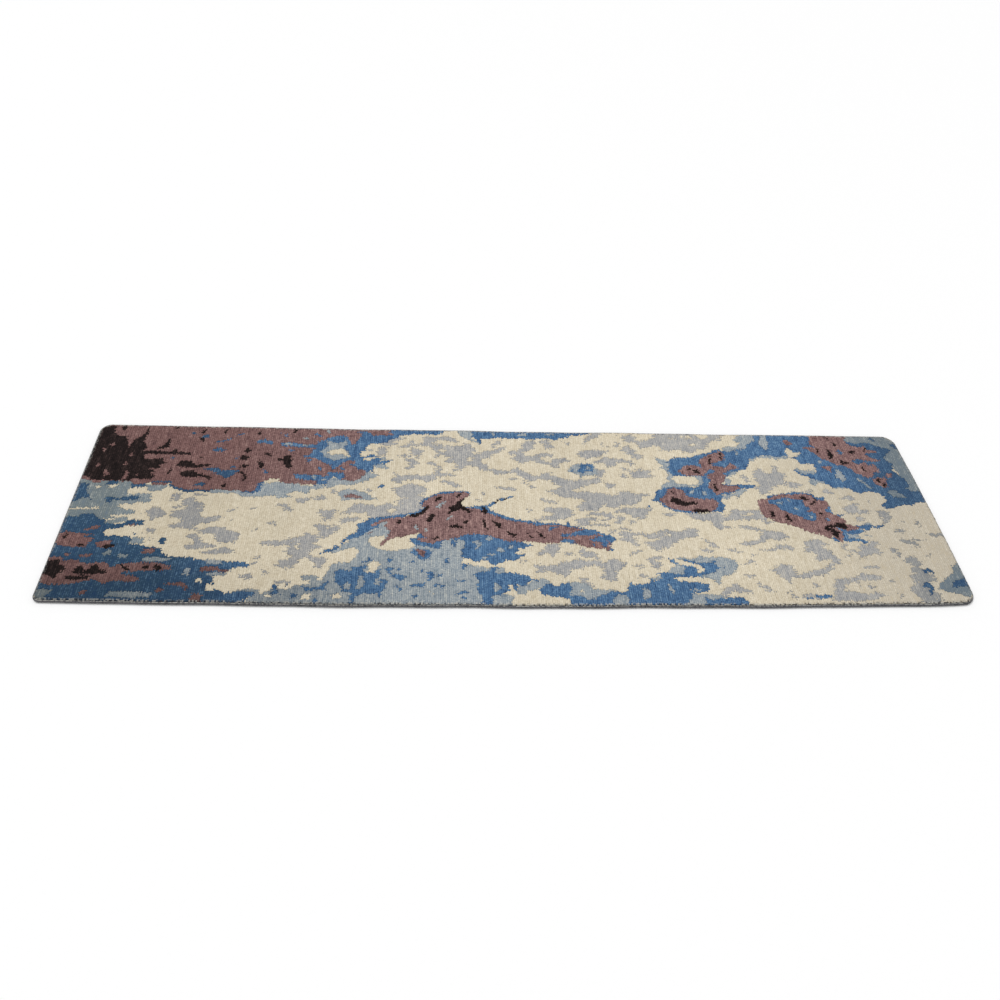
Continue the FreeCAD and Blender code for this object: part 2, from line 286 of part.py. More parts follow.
PALE_FIELDS = [
    [(48.5, 15.9), (51, 16), (55.2, 15.5), (55, 13.6), (49, 13.4)],
    [(0, 54), (17, 51), (20, 50.2), (18.4, 48.2), (17.2, 47.2), (17.5, 44.2), (19.6, 43.8),
     (21.4, 45), (25.6, 44.6), (25.5, 42.6), (27, 41.5), (25, 40.6), (21.5, 40.7), (20, 39.8),
     (16, 39.6), (15.8, 38.6), (17, 37.9), (19, 37.3), (22, 36.8), (22.2, 35.6), (19.8, 35),
     (14.3, 34.6), (14.3, 33.9), (19, 33.7), (20.5, 33.4), (16, 33), (10, 32.8), (0, 32)],
    [(22, 49), (25, 49.2), (30, 49), (28, 46), (24, 45.8)],
    [(43, 47.5), (54, 48), (60, 50.5), (66, 51), (74.5, 51), (75, 49.6), (79.8, 49.4), (81, 50.8),
     (84, 49.4), (83, 48.4), (78.2, 48), (79, 46.4), (77.5, 45.8), (75, 46.8), (71.5, 46), (70.7, 45),
     (72.9, 44.2), (67.5, 43.3), (67.3, 44.9), (60, 43.9), (55, 44), (54, 45.5), (44, 45.5)],
    [(10, 31), (20.2, 34), (20, 31.8), (13, 30)],
    [(84.2, 52.6), (85, 54), (88, 53.5), (92, 53), (94.5, 54), (96.9, 56.5), (98.2, 57.8),
     (100.1, 56.2), (102.5, 55), (99.7, 53.8), (96.9, 52.2), (94.1, 51), (91.7, 50.4), (88.6, 50.6),
     (85.8, 49), (84.2, 48.7)],
    [(88.5, 46), (89.3, 48), (92, 48.5), (96, 47.5), (98.5, 46.5), (99.5, 45), (103, 43.6),
     (96, 43.4), (90.5, 43)],
    [(100.1, 60.8), (103.7, 61), (104.5, 59.5), (106, 59), (104.5, 58.5), (101.5, 59), (100, 59.6)],
    [(102.3, 63.5), (102.8, 65), (104, 64.5), (103.8, 63.3)],
    [(88, 20), (90, 21), (93, 24), (100, 29.5), (104, 34), (108, 33), (107.3, 27.5), (104, 23),
     (108, 21), (113, 21), (116, 22.8), (121, 24), (125, 25.5), (130, 27), (132.5, 26.8), (132, 17.2),
     (131.3, 15), (134, 14.8), (140, 13.5), (141, 14.3), (145, 13.8), (146, 11.8), (141, 9),
     (141, 4), (146, 3), (148, 2.3), (147, 0), (63.8, 0), (64.3, 2), (60, 2.8), (60, 3.3), (63, 4.3),
     (67.2, 4.5), (68.5, 2.4), (72.5, 5), (77.5, 4.3), (78, 5.8), (81, 6.3), (83, 6.5), (83, 8),
     (80.5, 8), (80, 9.8), (85, 10.2), (86, 7.5), (87.7, 10.8), (88.8, 14), (91, 15.3), (95.5, 16),
     (97.8, 20), (96.8, 22), (93, 21), (89.5, 19.3)],
    [(129.5, 78.5), (131, 79.5), (135.5, 79.5), (135.5, 74.8), (137.5, 74), (139, 71.5), (136.5, 73),
     (133, 75)],
    [(149, 3.2), (149, 6.5), (152, 6.8), (154, 8.3), (157.5, 9.8), (160, 8.5), (160, 6), (157, 5.3),
     (152.5, 4.5), (150.8, 2.8)],
    [(165.5, 1), (166, 8.2), (169, 8), (172, 7.3), (173, 5.5), (176, 5), (180, 5), (182, 4.4),
     (176.5, 2.5), (172.5, 1)],
    [(170, 58.8), (172, 61.8), (175, 62.8), (180, 62), (181, 58.3), (180.8, 57), (176, 56.3),
     (174.3, 55.5), (174, 57), (172, 57.8)],
    [(203.5, 66.2), (206, 65.3), (208, 65), (210, 63.5), (209, 59), (210, 56.5), (207.8, 55.5),
     (209, 54), (213, 52.2), (217.5, 52.5), (218, 54.5), (217, 56.8), (220, 57), (221, 52), (204, 50),
     (203.5, 51.5), (204.5, 53), (207, 54), (206.5, 56.8), (207.5, 57.8), (206, 60.3), (204, 60.3),
     (206.3, 62), (204.5, 63.5)],
    [(228, 57), (230.5, 55), (230, 52.8), (228, 53)],
    [(230, 58.8), (232, 60), (233.8, 59.2), (232, 57.6), (230.3, 57)],
    [(225, 46.5), (227.5, 48.3), (229.5, 48), (231.5, 50.5), (235, 51), (235, 50), (232, 47.5),
     (230.5, 45), (231, 48), (226.5, 45.2)],
    [(230.5, 72.5), (233, 73), (236, 72.5), (238, 74.5), (236, 76.5), (240, 79.5), (250, 79.5),
     (250, 70), (236, 69), (231, 70.5)],
    [(240, 65), (242, 67.5), (252, 69), (256, 67), (254, 66.3), (251, 66.3), (250.5, 65),
     (249.7, 66.5), (243.5, 66.8), (241.5, 65.2)],
    [(259.5, 53), (260.3, 56), (266, 56), (267.5, 53.5), (276, 53), (278, 50.5), (276, 50),
     (273, 51.2), (269, 51), (266.5, 53), (264, 54), (262.5, 53.5), (261.3, 52.5)],
    [(255.8, 60), (257.3, 62), (258.5, 60.2), (264, 60.5), (262, 58), (258, 58)],
    [(197.5, 11.2), (200, 12.8), (202, 14.5), (203.7, 15.9), (206, 13.5), (206, 10.5)],
    [(203, 18.3), (210, 18), (211.5, 19.5), (213, 18.5), (220, 18.5), (222.5, 17.8), (224.2, 15.5),
     (223, 13.5), (220.8, 11.6), (217, 10), (216, 7), (215.3, 7), (214, 9.3), (210, 10), (211, 12),
     (215.3, 12.5), (216, 15), (206, 16.5)],
    [(184, 0), (184, 2.5), (188, 4), (215, 3), (217, 1.5), (216, 0)],
    [(193, 9), (194.5, 9.8), (197, 10.8), (197.5, 8.5)],
    [(273, 33.3), (276, 34.5), (277, 33), (274.5, 32)],
    [(272, 28.5), (275, 28.8), (274, 28)],
    [(266.5, 25.6), (269, 27), (271, 28.5), (266, 29.5)],
    [(300, 17), (298.5, 15), (298, 12), (294.5, 9.5), (291.5, 7.3), (290, 5), (293, 3.8), (296, 3),
     (298.5, 1.5), (300, 2.5)],
    [(281, 79.9), (300, 79.9), (300, 49), (296, 50), (296, 60), (293, 66), (293, 72), (281.5, 75)],
    [(44.5, 62.3), (45.3, 63), (46, 62.2), (45.2, 61.5)],
]

IVORY_IN_PALE = [
    [(101, 26.5), (105.4, 27), (105.4, 25), (104.3, 24), (105.3, 22.7), (109, 26), (116.5, 28),
     (116, 26.3), (113.7, 24.8), (116, 22.8), (115.5, 21.8), (110, 20.5), (106.5, 20.5), (103, 21.5),
     (100.3, 24)],
    [(100, 12), (101.5, 12.8), (100.7, 14.5), (102.5, 16.2), (104.5, 15.3), (104.7, 13.8),
     (103.5, 13.2), (103.3, 11.3), (102.2, 11.2)],
    [(106, 37.5), (107, 39.4), (109.4, 38.8), (108, 37.3)],
    [(131.3, 16.3), (134.5, 15.8), (135.3, 14.2), (140.3, 13.5), (140.8, 14), (145, 13.9),
     (145, 16.5), (139, 16.5), (134, 17)],
    [(6, 47), (6.3, 48.2), (8, 48), (7.6, 47)],
    [(10, 47.3), (10.4, 48.5), (13, 48.8), (12.8, 47.5)],
    [(0, 36.3), (3, 37.8), (10, 38.2), (10, 37.4), (4, 37.2)],
    [(69.5, 2.2), (70, 1), (72, 1.3), (71.5, 2.2)],
    [(81, 0.6), (81.5, 2.5), (84, 2.5), (83.5, 0.6)],
    [(90, 2.2), (92.5, 3), (93.5, 1.2), (91, 1)],
    [(75.3, 5), (76, 5.8), (77.5, 4.8), (76.5, 4)],
    [(120, 4.8), (121.5, 3), (122, 2.8), (120.8, 4)],
    [(168.5, 4), (170, 5), (170.7, 4), (169.5, 3.6)],
    [(290.5, 1), (293, 2.8), (296, 2.5), (298, 1.8), (296, 0.5)],
    [(209, 56.3), (217, 56), (218, 54.5), (217, 52.9), (213.5, 52.3), (209, 53)],
]

BLUE_FIELDS = [
    [(0, 33.5), (4, 34), (5, 35), (9.5, 34.8), (10.5, 33), (13.3, 32.5), (13, 31), (19, 30.8),
     (20, 32), (22, 32.8), (26, 32.2), (26, 30.3), (20, 30), (19, 29), (14.5, 28), (14.5, 26.5),
     (15, 25.5), (20, 25.8), (23.5, 25), (24, 22), (26, 21.8), (34, 20.5), (34.5, 18.5), (36, 17.8),
     (38, 17), (42.2, 16.9), (44.3, 16.8),
     (46.5, 15.8), (48.8, 15.5), (49.5, 13.9), (54.5, 14.1), (54.6, 15.3), (61.7, 14.9), (63.2, 13.5),
     (62.4, 12.9), (58.8, 12.7), (58.1, 12.4), (56.7, 11), (52.7, 10.2), (52.9, 6.8), (53.6, 5.7),
     (53.6, 4), (56.9, 3.2), (57.3, 2.1), (58.3, 2.7), (63.2, 3.6), (66.8, 3), (66.5, 2), (64, 1.2),
     (62.8, 0), (0, 0)],
    [(0, 50), (3.5, 49), (3.5, 45.5), (5, 43), (6.5, 41.5), (3, 43), (1.5, 40.5), (0, 40.5)],
    [(10.5, 42), (11, 43), (15, 42.5), (19, 43.5), (22, 43.2), (22.5, 42), (13, 41.3), (13, 40),
     (12, 40.5)],
    [(9, 48.3), (10, 51), (13, 51), (13, 49.4)],
    [(18, 47.4), (17.5, 50), (23, 50), (23, 48.2), (20.5, 47.3)],
    [(30, 48.8), (31, 50), (36, 48), (46, 47.6), (44.5, 46), (36, 45.8)],
    [(55.5, 45.9), (56, 47.5), (59.5, 47.2), (60, 51), (62.4, 52), (62, 50.4), (61.3, 47), (60, 45.8)],
    [(81.8, 74.4), (85, 77), (92, 79), (105, 79), (108, 79.9), (125, 79.9), (125, 78), (123, 77.2),
     (121.5, 76.8), (118, 77.3), (111.6, 76.8), (108.8, 76.2), (108, 75), (105.6, 74), (104.8, 72.9),
     (102.1, 71.9), (98.1, 71.9), (96.9, 70.9), (96.5, 68.1), (95.1, 67.7), (94.5, 66.1),
     (94.9, 64.8), (99.1, 66.1), (102.1, 64.9), (96, 64.5), (95.9, 62.9), (98.1, 63.1), (100.1, 64.3),
     (101.9, 64.1), (102.3, 62.9), (104.4, 62.9), (107.2, 63.3), (103.7, 61.2), (100.1, 60.6),
     (99.7, 58.4), (100.1, 56.4), (98.9, 57.8), (97.3, 56.6), (96, 54), (92, 55), (89.2, 53),
     (87.8, 52.6), (86.6, 54.6), (85, 54), (84.4, 52.6), (84, 49.8), (83.6, 49.2), (83, 50.4),
     (81, 50.4), (80, 50), (71.1, 52.4), (71.9, 55.4), (79.8, 55.4), (76, 60), (72, 63), (74, 67),
     (66, 69.3), (65.8, 71.1), (69.1, 71.6), (74.7, 70.9), (78, 73)],
    [(135, 79.9), (135.5, 75.5), (137, 75.2), (137.3, 73.8), (138.3, 72.4), (138.9, 75.2),
     (142.5, 75.2), (144, 76), (151, 75.5), (155, 75.8), (155.8, 75), (157.3, 75), (162, 76),
     (167.5, 75), (168.5, 76), (171.5, 76.6), (172, 77.5), (180, 78.2), (180, 79.9)],
    [(102.3, 49.2), (102.6, 50.4), (104, 50.7), (104.8, 49.8), (103.8, 49)],
    [(84, 18.3), (87, 19.8), (90, 20.8), (91, 23), (93, 24.8), (97, 26.5), (100, 29.2), (103, 31),
     (104, 33), (109, 35), (113.5, 36.3), (116, 36.8), (118.5, 38.8), (120, 41), (118.5, 43),
     (121, 45), (129, 46.8), (134, 45.5), (134.7, 46.5), (133.7, 47.9), (129.5, 47.8), (124, 47.5),
     (118.2, 44.2), (116.8, 41.5), (118.3, 40), (117, 38.6), (113, 37), (110, 36.5), (105, 35.3),
     (100, 35), (98.5, 33.3), (96, 32), (96.5, 29.3), (92.5, 25.8), (91.5, 24), (88.3, 21.2),
     (86.5, 21), (85.5, 19.5)],
    [(131.5, 40.3), (138.3, 40.8), (140.5, 41.5), (143, 43.4), (145.3, 44.8), (146.6, 44.9),
     (148.4, 45.9), (150.2, 46), (148.4, 45.1), (147, 44), (145, 43.8), (143, 42.5), (141, 40.8),
     (140.5, 40),
     (143.5, 37.8), (148, 35.8), (155.5, 34), (160, 33.4), (164.5, 33.2), (167, 32.4), (167.7, 33.7),
     (168.3, 32.5), (172, 31.5), (176, 30.6), (178.5, 29.7), (180, 28.2), (181.5, 28.3), (183.9, 26.2),
     (183.3, 24.8), (181, 23.6), (181.5, 22.3), (183.3, 21.4), (181, 21), (178, 23), (170, 24),
     (167, 24.6), (164.8, 25.2), (160, 28), (150, 31), (140, 36)],
    [(113.7, 24.8), (114.3, 25.8), (116, 26.2), (117.3, 28.7), (120, 28), (124, 26), (130, 26.5),
     (134.5, 28.5), (140, 29), (146, 27), (152.2, 26), (152.5, 24), (155.2, 23.8), (152.5, 22),
     (150, 22), (150.3, 21), (153, 20.8), (149, 20.5), (149, 19.5), (153.3, 19.3), (150, 17.8),
     (148.5, 16.7), (146, 17), (143, 15), (141, 15), (139, 17), (135.5, 15.8), (134.5, 17),
     (132, 17.5), (131, 18.5), (132, 19.5), (131, 21), (132.3, 22.5), (132, 25), (127, 26),
     (124.8, 24.3), (124, 21.5), (120, 22.4), (116, 22.9)],
    [(127.5, 25.5), (129.3, 25.2), (129.5, 22.8), (128, 22.3)],
    [(114, 20), (116, 21.5), (119, 21), (120.5, 21), (121.7, 20.2), (120.5, 18), (119, 16.2),
     (116.7, 18)],
    [(98.5, 15.3), (98.5, 16.8), (99.3, 16), (100.3, 16.5), (100.7, 18.3), (101.2, 16.5), (103, 16.8),
     (101.5, 15.7)],
    [(106.8, 15.5), (107.2, 16.8), (108.4, 17.8), (108.2, 15.7)],
    [(114.3, 16), (115, 16.8), (116.3, 16), (115.6, 15.3)],
    [(95.8, 14), (97.5, 13.8), (101, 14.3), (99.7, 12.8), (99.7, 11.5), (103.5, 11), (103.7, 13),
     (105, 12.3), (105, 10), (104, 9.2), (103.3, 6), (105, 9), (108, 7.8), (106.8, 5), (105.8, 4),
     (106, 1.5), (105.3, 1), (104.5, 3), (100, 3), (98, 1.8), (96.5, 0), (95.8, 1.5), (96.5, 3),
     (93.5, 3.8), (92.7, 6), (91, 7.5), (90.5, 9), (90.5, 12), (93, 12.8), (95.5, 11.5)],
    [(106, 12.3), (107.5, 13.5), (109.3, 13), (108.2, 12), (109, 10.8), (113.8, 10), (111.5, 7.5),
     (110.8, 9), (108.8, 9.5), (107, 11.8)],
    [(110, 12.3), (110.3, 13.2), (112, 12.8), (111, 12.1)],
    [(118, 11.5), (118.3, 13), (119.2, 12.4), (118.8, 11.3)],
    [(120, 8.2), (120.2, 11.5), (121.3, 12), (122, 10), (121.3, 8.3)],
    [(114.2, 5.8), (115.5, 6.8), (118.8, 7), (119.5, 8), (119.3, 6.2), (118.5, 4.8), (117.8, 5.9)],
    [(109.5, 6), (111, 6), (112.5, 4.3), (111.3, 3.6), (110.7, 5.2)],
    [(115, 2), (116, 2.6), (118, 2.2), (116.8, 1.3)],
    [(71.3, 6), (73.7, 6.2), (72.6, 4.6), (74.2, 2.3), (70.6, 2.7), (71.8, 3.8)],
    [(75, 5.7), (76.2, 7), (76, 5.6)],
    [(77.5, 0.7), (77.7, 2.8), (79.8, 2), (78.5, 0.6)],
    [(81, 5.7), (82.5, 4.9), (86.5, 5.8), (87.3, 7), (89.5, 8), (87.5, 5), (88.5, 4), (86, 4.6),
     (82.5, 3.6), (81.4, 3.9)],
    [(84.5, 0), (84.6, 1), (86, 0.6), (86, 0)],
    [(122.5, 5.5), (122.5, 6.8), (126.3, 6.3), (124.7, 4.8), (124.1, 6)],
    [(123, 9.8), (123.5, 11), (124.8, 10.8), (124.5, 9.8)],
    [(128.8, 8.4), (133, 8.5), (132.5, 7.8), (129.5, 7.7)],
    [(129, 3), (131.5, 3.5), (132.5, 4.3), (134, 3), (129.3, 2.5)],
    [(131, 1.6), (133.5, 1.5), (133, 0.8), (131.3, 0.9)],
    [(125.6, 16.5), (127.3, 17.8), (126.2, 14.8)],
    [(131.3, 13), (131.5, 15), (133.5, 14.8), (131.8, 12.7)],
    [(119.8, 17.3), (120, 20), (121.5, 19.8), (120.8, 17.6)],
    [(135.3, 11), (140, 12.5), (141, 14), (144.3, 13.8), (142, 12.5), (143, 11.5), (149, 11.8),
     (152, 10.8), (153.5, 9.9), (153.7, 9.1), (156.5, 9), (156, 8.4), (153.5, 8.5), (152.5, 7),
     (150.5, 6.2), (149, 7), (148.5, 3.8), (147.6, 5), (148, 7), (146.5, 7), (146.5, 5), (144, 2.8),
     (141, 2.5), (140.5, 0), (135.3, 0), (138, 1.5), (136, 4.5), (136.5, 6), (135.3, 6.8), (137, 8)],
    [(156, 3), (157, 4.4), (155.5, 4.8), (157.3, 5.3), (157.8, 7.2), (160, 7.3), (160.5, 6),
     (165, 7.8), (166, 8), (166.5, 5), (166, 3), (169, 2.5), (172.5, 1), (176, 2.8), (179, 4),
     (184.1, 4), (185.5, 6), (186, 7.8), (187.3, 6.8), (191, 7), (192.5, 7.8), (193, 10), (194, 8.5),
     (196.5, 9), (197, 10.8), (195, 11.4), (198, 11.9), (205, 11.3), (205.5, 14), (204, 15.3),
     (201, 16.5), (200.4, 18), (202, 17.8), (203.3, 16), (205, 15), (208, 14.8), (210, 13.3),
     (210, 12), (211, 12), (212, 13), (210.5, 15.3), (205, 17), (206, 17.8), (211, 16), (214, 16),
     (216.8, 17.3), (216, 15.5), (217, 14.3), (219.7, 14.2), (216.5, 13.7), (215.5, 12.3),
     (211.3, 11), (210, 10.3), (200.5, 9.8), (203, 8.3), (208.5, 8), (212, 7.2), (212.3, 5),
     (211, 4), (206, 3.3), (203, 0), (165.5, 0), (166, 1.5), (162, 2)],
    [(209.8, 0), (210, 2), (212, 1), (214.5, 1.5), (219, 1.8), (220, 2.3), (223.5, 1.8), (224.5, 0)],
    [(173.3, 58.7), (175, 60.5), (175.2, 62.2), (177.5, 62.8), (179.3, 62.5), (180, 60.5),
     (179.7, 58.5), (177, 58.8), (175.8, 57.3), (174.5, 58.3)],
    [(171.3, 58.3), (172.3, 60), (172.8, 58.5)],
    [(197, 41.2), (197.6, 42.1), (198.4, 41.8), (198.2, 40.9)],
    [(207, 63.8), (209.3, 65), (211.3, 66.3), (217.8, 66.3), (218.5, 67), (222.5, 68.7), (225, 69.3),
     (227, 70.6), (229.2, 71.2), (230.2, 70.6), (233, 69.8), (234.5, 70.5), (236, 71.8), (238, 71),
     (240, 72), (240.5, 74), (243.5, 75.3), (244.6, 76), (244.6, 79.9), (270, 79.9), (283, 76),
     (285, 75), (287.5, 76.1), (290, 76), (293, 73.8), (296, 72.8), (297.8, 72), (295, 69.8),
     (294, 68), (293, 67.3), (294.2, 66.3), (295.3, 64), (294.3, 60.8), (295.5, 59), (297, 56.5),
     (298.5, 52.8), (296.3, 51.6), (297, 50.3), (300, 49.5), (300, 45), (296.5, 44), (294.5, 42.3),
     (293.8, 43.5), (289.3, 42), (284.8, 41), (283.3, 42.8), (286, 45), (286.3, 46.5), (284.3, 49.3),
     (279.5, 49.8), (277.5, 48.5), (275.5, 49.5), (275, 50.8), (271, 52), (268, 51.5), (265.3, 54.8),
     (261, 56), (260.2, 57.3), (258, 57.5), (255.8, 60.2), (256.5, 61), (257.8, 58.8), (260, 58.3),
     (264.8, 60), (264, 63.8), (259.3, 63.8), (258, 66.2), (256.5, 66.5), (254.8, 67.8),
     (250.5, 67.5), (245.5, 68.3), (242, 66.8), (240.3, 65.8), (239.2, 63.8), (238.3, 61.5),
     (233.5, 59.2), (231, 59.5), (229.8, 57), (228, 56), (226, 54), (222, 54), (221, 52.5),
     (220, 52), (219.5, 53.3), (219.8, 56.5), (209, 56.8), (207.5, 59.3), (208.3, 61), (207.5, 61.8),
     (209.3, 62.3), (209, 63.5)],
    [(198.8, 44.3), (200.5, 45.8), (201.5, 49), (205, 50.8), (210.5, 51.3), (216, 50.8), (219.5, 53),
     (224, 54), (228, 52.8), (231.5, 52.5), (232.5, 53.2), (234.3, 52.6), (238, 52.6), (239, 51.5),
     (236.5, 50.8), (233.5, 51), (228.5, 48), (225, 48), (226, 47), (224.3, 44), (225.2, 42.8),
     (224, 38.5), (222, 39.5), (212, 38.3), (206, 39.5), (203.3, 41.5), (201, 43.7)],
    [(241.5, 46.5), (243, 47.5), (247, 48), (251.5, 49), (254.5, 49), (259.5, 48.3), (260, 46),
     (261.5, 46.8), (263.2, 46.5), (263, 44.5), (264, 40), (264.8, 38), (268.8, 38.2), (266, 36.8),
     (258, 34), (246, 38), (241, 44)],
    [(263.3, 32), (270.5, 31.5), (272.8, 31.2), (275, 31.2), (276.5, 32.5), (279, 31.7), (281.3, 33.8),
     (278.8, 33), (275.5, 33.3), (271, 33), (262, 34), (260.2, 26), (264.8, 25.7), (269.5, 25.8),
     (270.5, 24.7), (272.3, 25), (272, 26.2), (270.5, 27), (266.2, 27.4), (266.3, 29), (271.5, 29.3),
     (272.8, 30), (272.5, 31.1), (266, 31.3)],
    [(246.8, 2.8), (252.7, 2.9), (252, 1.7), (247, 1.3)],
    [(243.8, 1.9), (246, 2), (246, 1.5), (244, 1.1)],
    [(286.8, 11.3), (287.3, 13), (289, 13.8), (290.5, 13), (291.2, 11.5), (288.8, 12.6)],
    [(284.8, 6), (286.5, 8), (287.8, 7.8), (288.7, 6), (288, 4), (286.7, 2.3), (286.5, 4), (287, 5.5)],
    [(295, 5.8), (295.5, 7), (297, 8.5), (300, 10), (300, 6.3), (296, 5.6)],
    [(291, 77.8), (292.3, 78.8), (293.3, 77), (292.3, 76.2)],
    [(298.3, 75), (300, 76), (300, 72), (298.8, 73)],
]

PALE_IN_BLUE = [
    [(81.8, 72.9), (85.8, 71.5), (87.8, 72.1), (89.2, 73.3), (89.6, 71.3), (88.4, 70.1), (89.6, 67.7),
     (91.3, 65.1), (90.4, 64.3), (87.8, 63.5), (85.4, 62.3), (81.6, 64.3), (81.6, 66.1), (80.4, 67.3),
     (82.2, 69.5), (82.6, 70.5)],
    [(67, 70.3), (67.5, 71.3), (69.7, 71), (69.5, 70.2)],
    [(73.3, 69.9), (73.6, 71), (75.9, 70.7), (75.5, 69.6)],
    [(78.3, 53.4), (78.6, 54.6), (79.6, 54), (79.4, 53)],
    [(81.8, 52.6), (82.3, 53.4), (83.4, 53.2), (83, 52)],
    [(16.5, 17.4), (17, 19.3), (19, 19), (18.6, 17.4)],
    [(21, 16.4), (21.5, 18), (24.5, 17.6), (24, 16.3)],
    [(29, 15.2), (30, 16.8), (38.5, 16.4), (37.5, 15)],
    [(43, 10), (43.5, 13), (45, 12.4), (44.6, 9.5)],
    [(0, 0.3), (0.5, 3.5), (4.8, 2.8), (4, 0.4)],
    [(21, 1), (22.5, 2.8), (29, 3), (35.5, 2.3), (35, 1), (30, 0.4)],
    [(23.5, 22.3), (24, 25), (28, 24.8), (27.5, 22.2)],
    [(50, 9.5), (50.6, 10.5), (57, 10.4), (56, 9.4)],
    [(97.8, 5), (98, 10), (99.5, 10), (100, 7.5), (99.5, 4.8)],
    [(94, 4.6), (93.8, 7), (95.5, 7.2), (96, 5)],
    [(103.7, 6.2), (104.3, 8.6), (105.4, 8), (104.8, 5.6)],
    [(134.8, 25), (137, 25), (138.3, 23.5), (136, 21), (135.5, 22), (136.6, 23.3)],
    [(139, 26.4), (141, 27), (142, 26), (141, 25), (139.5, 25.4)],
    [(143, 21.4), (144.5, 22.3), (145.8, 21), (144, 20.5)],
    [(146.5, 23), (148, 23.3), (149, 22.3), (148, 21.6)],
    [(139.5, 19), (141, 20), (143, 19.8), (140.8, 18.7)],
    [(138, 17), (139, 18.6), (140, 17.5)],
    [(141.5, 4.3), (141.5, 7.5), (142.5, 7.4), (143.8, 5.4), (142.8, 4)],
    [(142, 78.5), (143.5, 79.2), (144, 77.3), (143, 77.1)],
    [(152.5, 77.8), (155.5, 78.4), (155.8, 77.2), (153.5, 77)],
    [(162.5, 78.2), (167.3, 78.6), (167, 77.8), (164, 77.5)],
    [(190, 5.3), (192, 4.8), (192.5, 2.5), (190.5, 0.4), (189.8, 2)],
    [(198.5, 7), (199, 7.4), (200.3, 5), (199.8, 3.4), (198.8, 4.5)],
    [(205.5, 4.8), (208, 5.3), (210, 4.8), (206.5, 4.4)],
    [(180, 1.3), (181.5, 3), (184, 2.8), (184.8, 1.5), (184, 0.3), (180.5, 0.3)],
    [(168.3, 3.8), (168.6, 5), (170, 4.2), (169.6, 3.4)],
    [(176.8, 60), (177, 61.3), (178.3, 61.5), (178.5, 59.8)],
    [(213.6, 48.2), (213.8, 49.5), (215.1, 49.3), (215, 48)],
    [(218.5, 47.3), (218.5, 49.3), (219.7, 49.2), (219.6, 47.1)],
    [(235, 68), (235.4, 70.6), (236.1, 70.4), (236, 68.2)],
    [(246.3, 79.9), (247.2, 77.3), (246, 76.3), (246.2, 74.5), (247.2, 70.7), (248.8, 72),
     (249.4, 75), (249.5, 79.9)],
    [(270.8, 57), (271.3, 59), (272.5, 61), (273.5, 60.3), (274.5, 58), (274.2, 56), (272.8, 54.4)],
    [(288, 49), (289, 50.5), (291, 50.5), (294, 47), (292.5, 46.8), (289.5, 47.2)],
    [(278.5, 57), (280, 55.8), (283, 51.3), (281.5, 51.5), (280.3, 53.8), (279, 55.3)],
    [(262, 58.4), (262.5, 59.4), (263.7, 59.2), (263.2, 58.3)],
    [(265.8, 65), (267.3, 66), (268, 64.5), (266.5, 64)],
    [(245, 44), (247, 44.2), (246.5, 43.2), (244.8, 43.2)],
    [(250.2, 41.5), (251.8, 41.2), (251.2, 39.8)],
    [(267, 28), (268, 29.2), (271, 29), (270.5, 27.6), (268, 27.3)],
]

IVORY_IN_BLUE = [
    [(82.8, 66.5), (83.8, 67.5), (87.4, 68.9), (88.6, 68.3), (89.6, 66.9), (91.2, 65.3), (90, 64.7),
     (88.6, 66.1), (85.8, 65.9), (84.6, 65.3)],
    [(255, 71), (256.2, 72.5), (258.2, 69.9), (261.3, 69.8), (258.7, 67.5), (256, 66.8),
     (255.5, 69)],
    [(14, 27.3), (19, 28.2), (20.5, 29.8), (26.5, 30), (26, 28.5), (23.5, 26), (19.5, 25.2),
     (18, 26), (14.2, 26.5)],
    [(47.5, 7), (48.5, 8.5), (50, 8), (49.5, 6.5)],
    [(51, 3.5), (51.5, 6.2), (54, 6), (53.6, 3.2)],
    [(57, 2.7), (57.6, 3.9), (58.6, 3.4), (58, 2.5)],
]

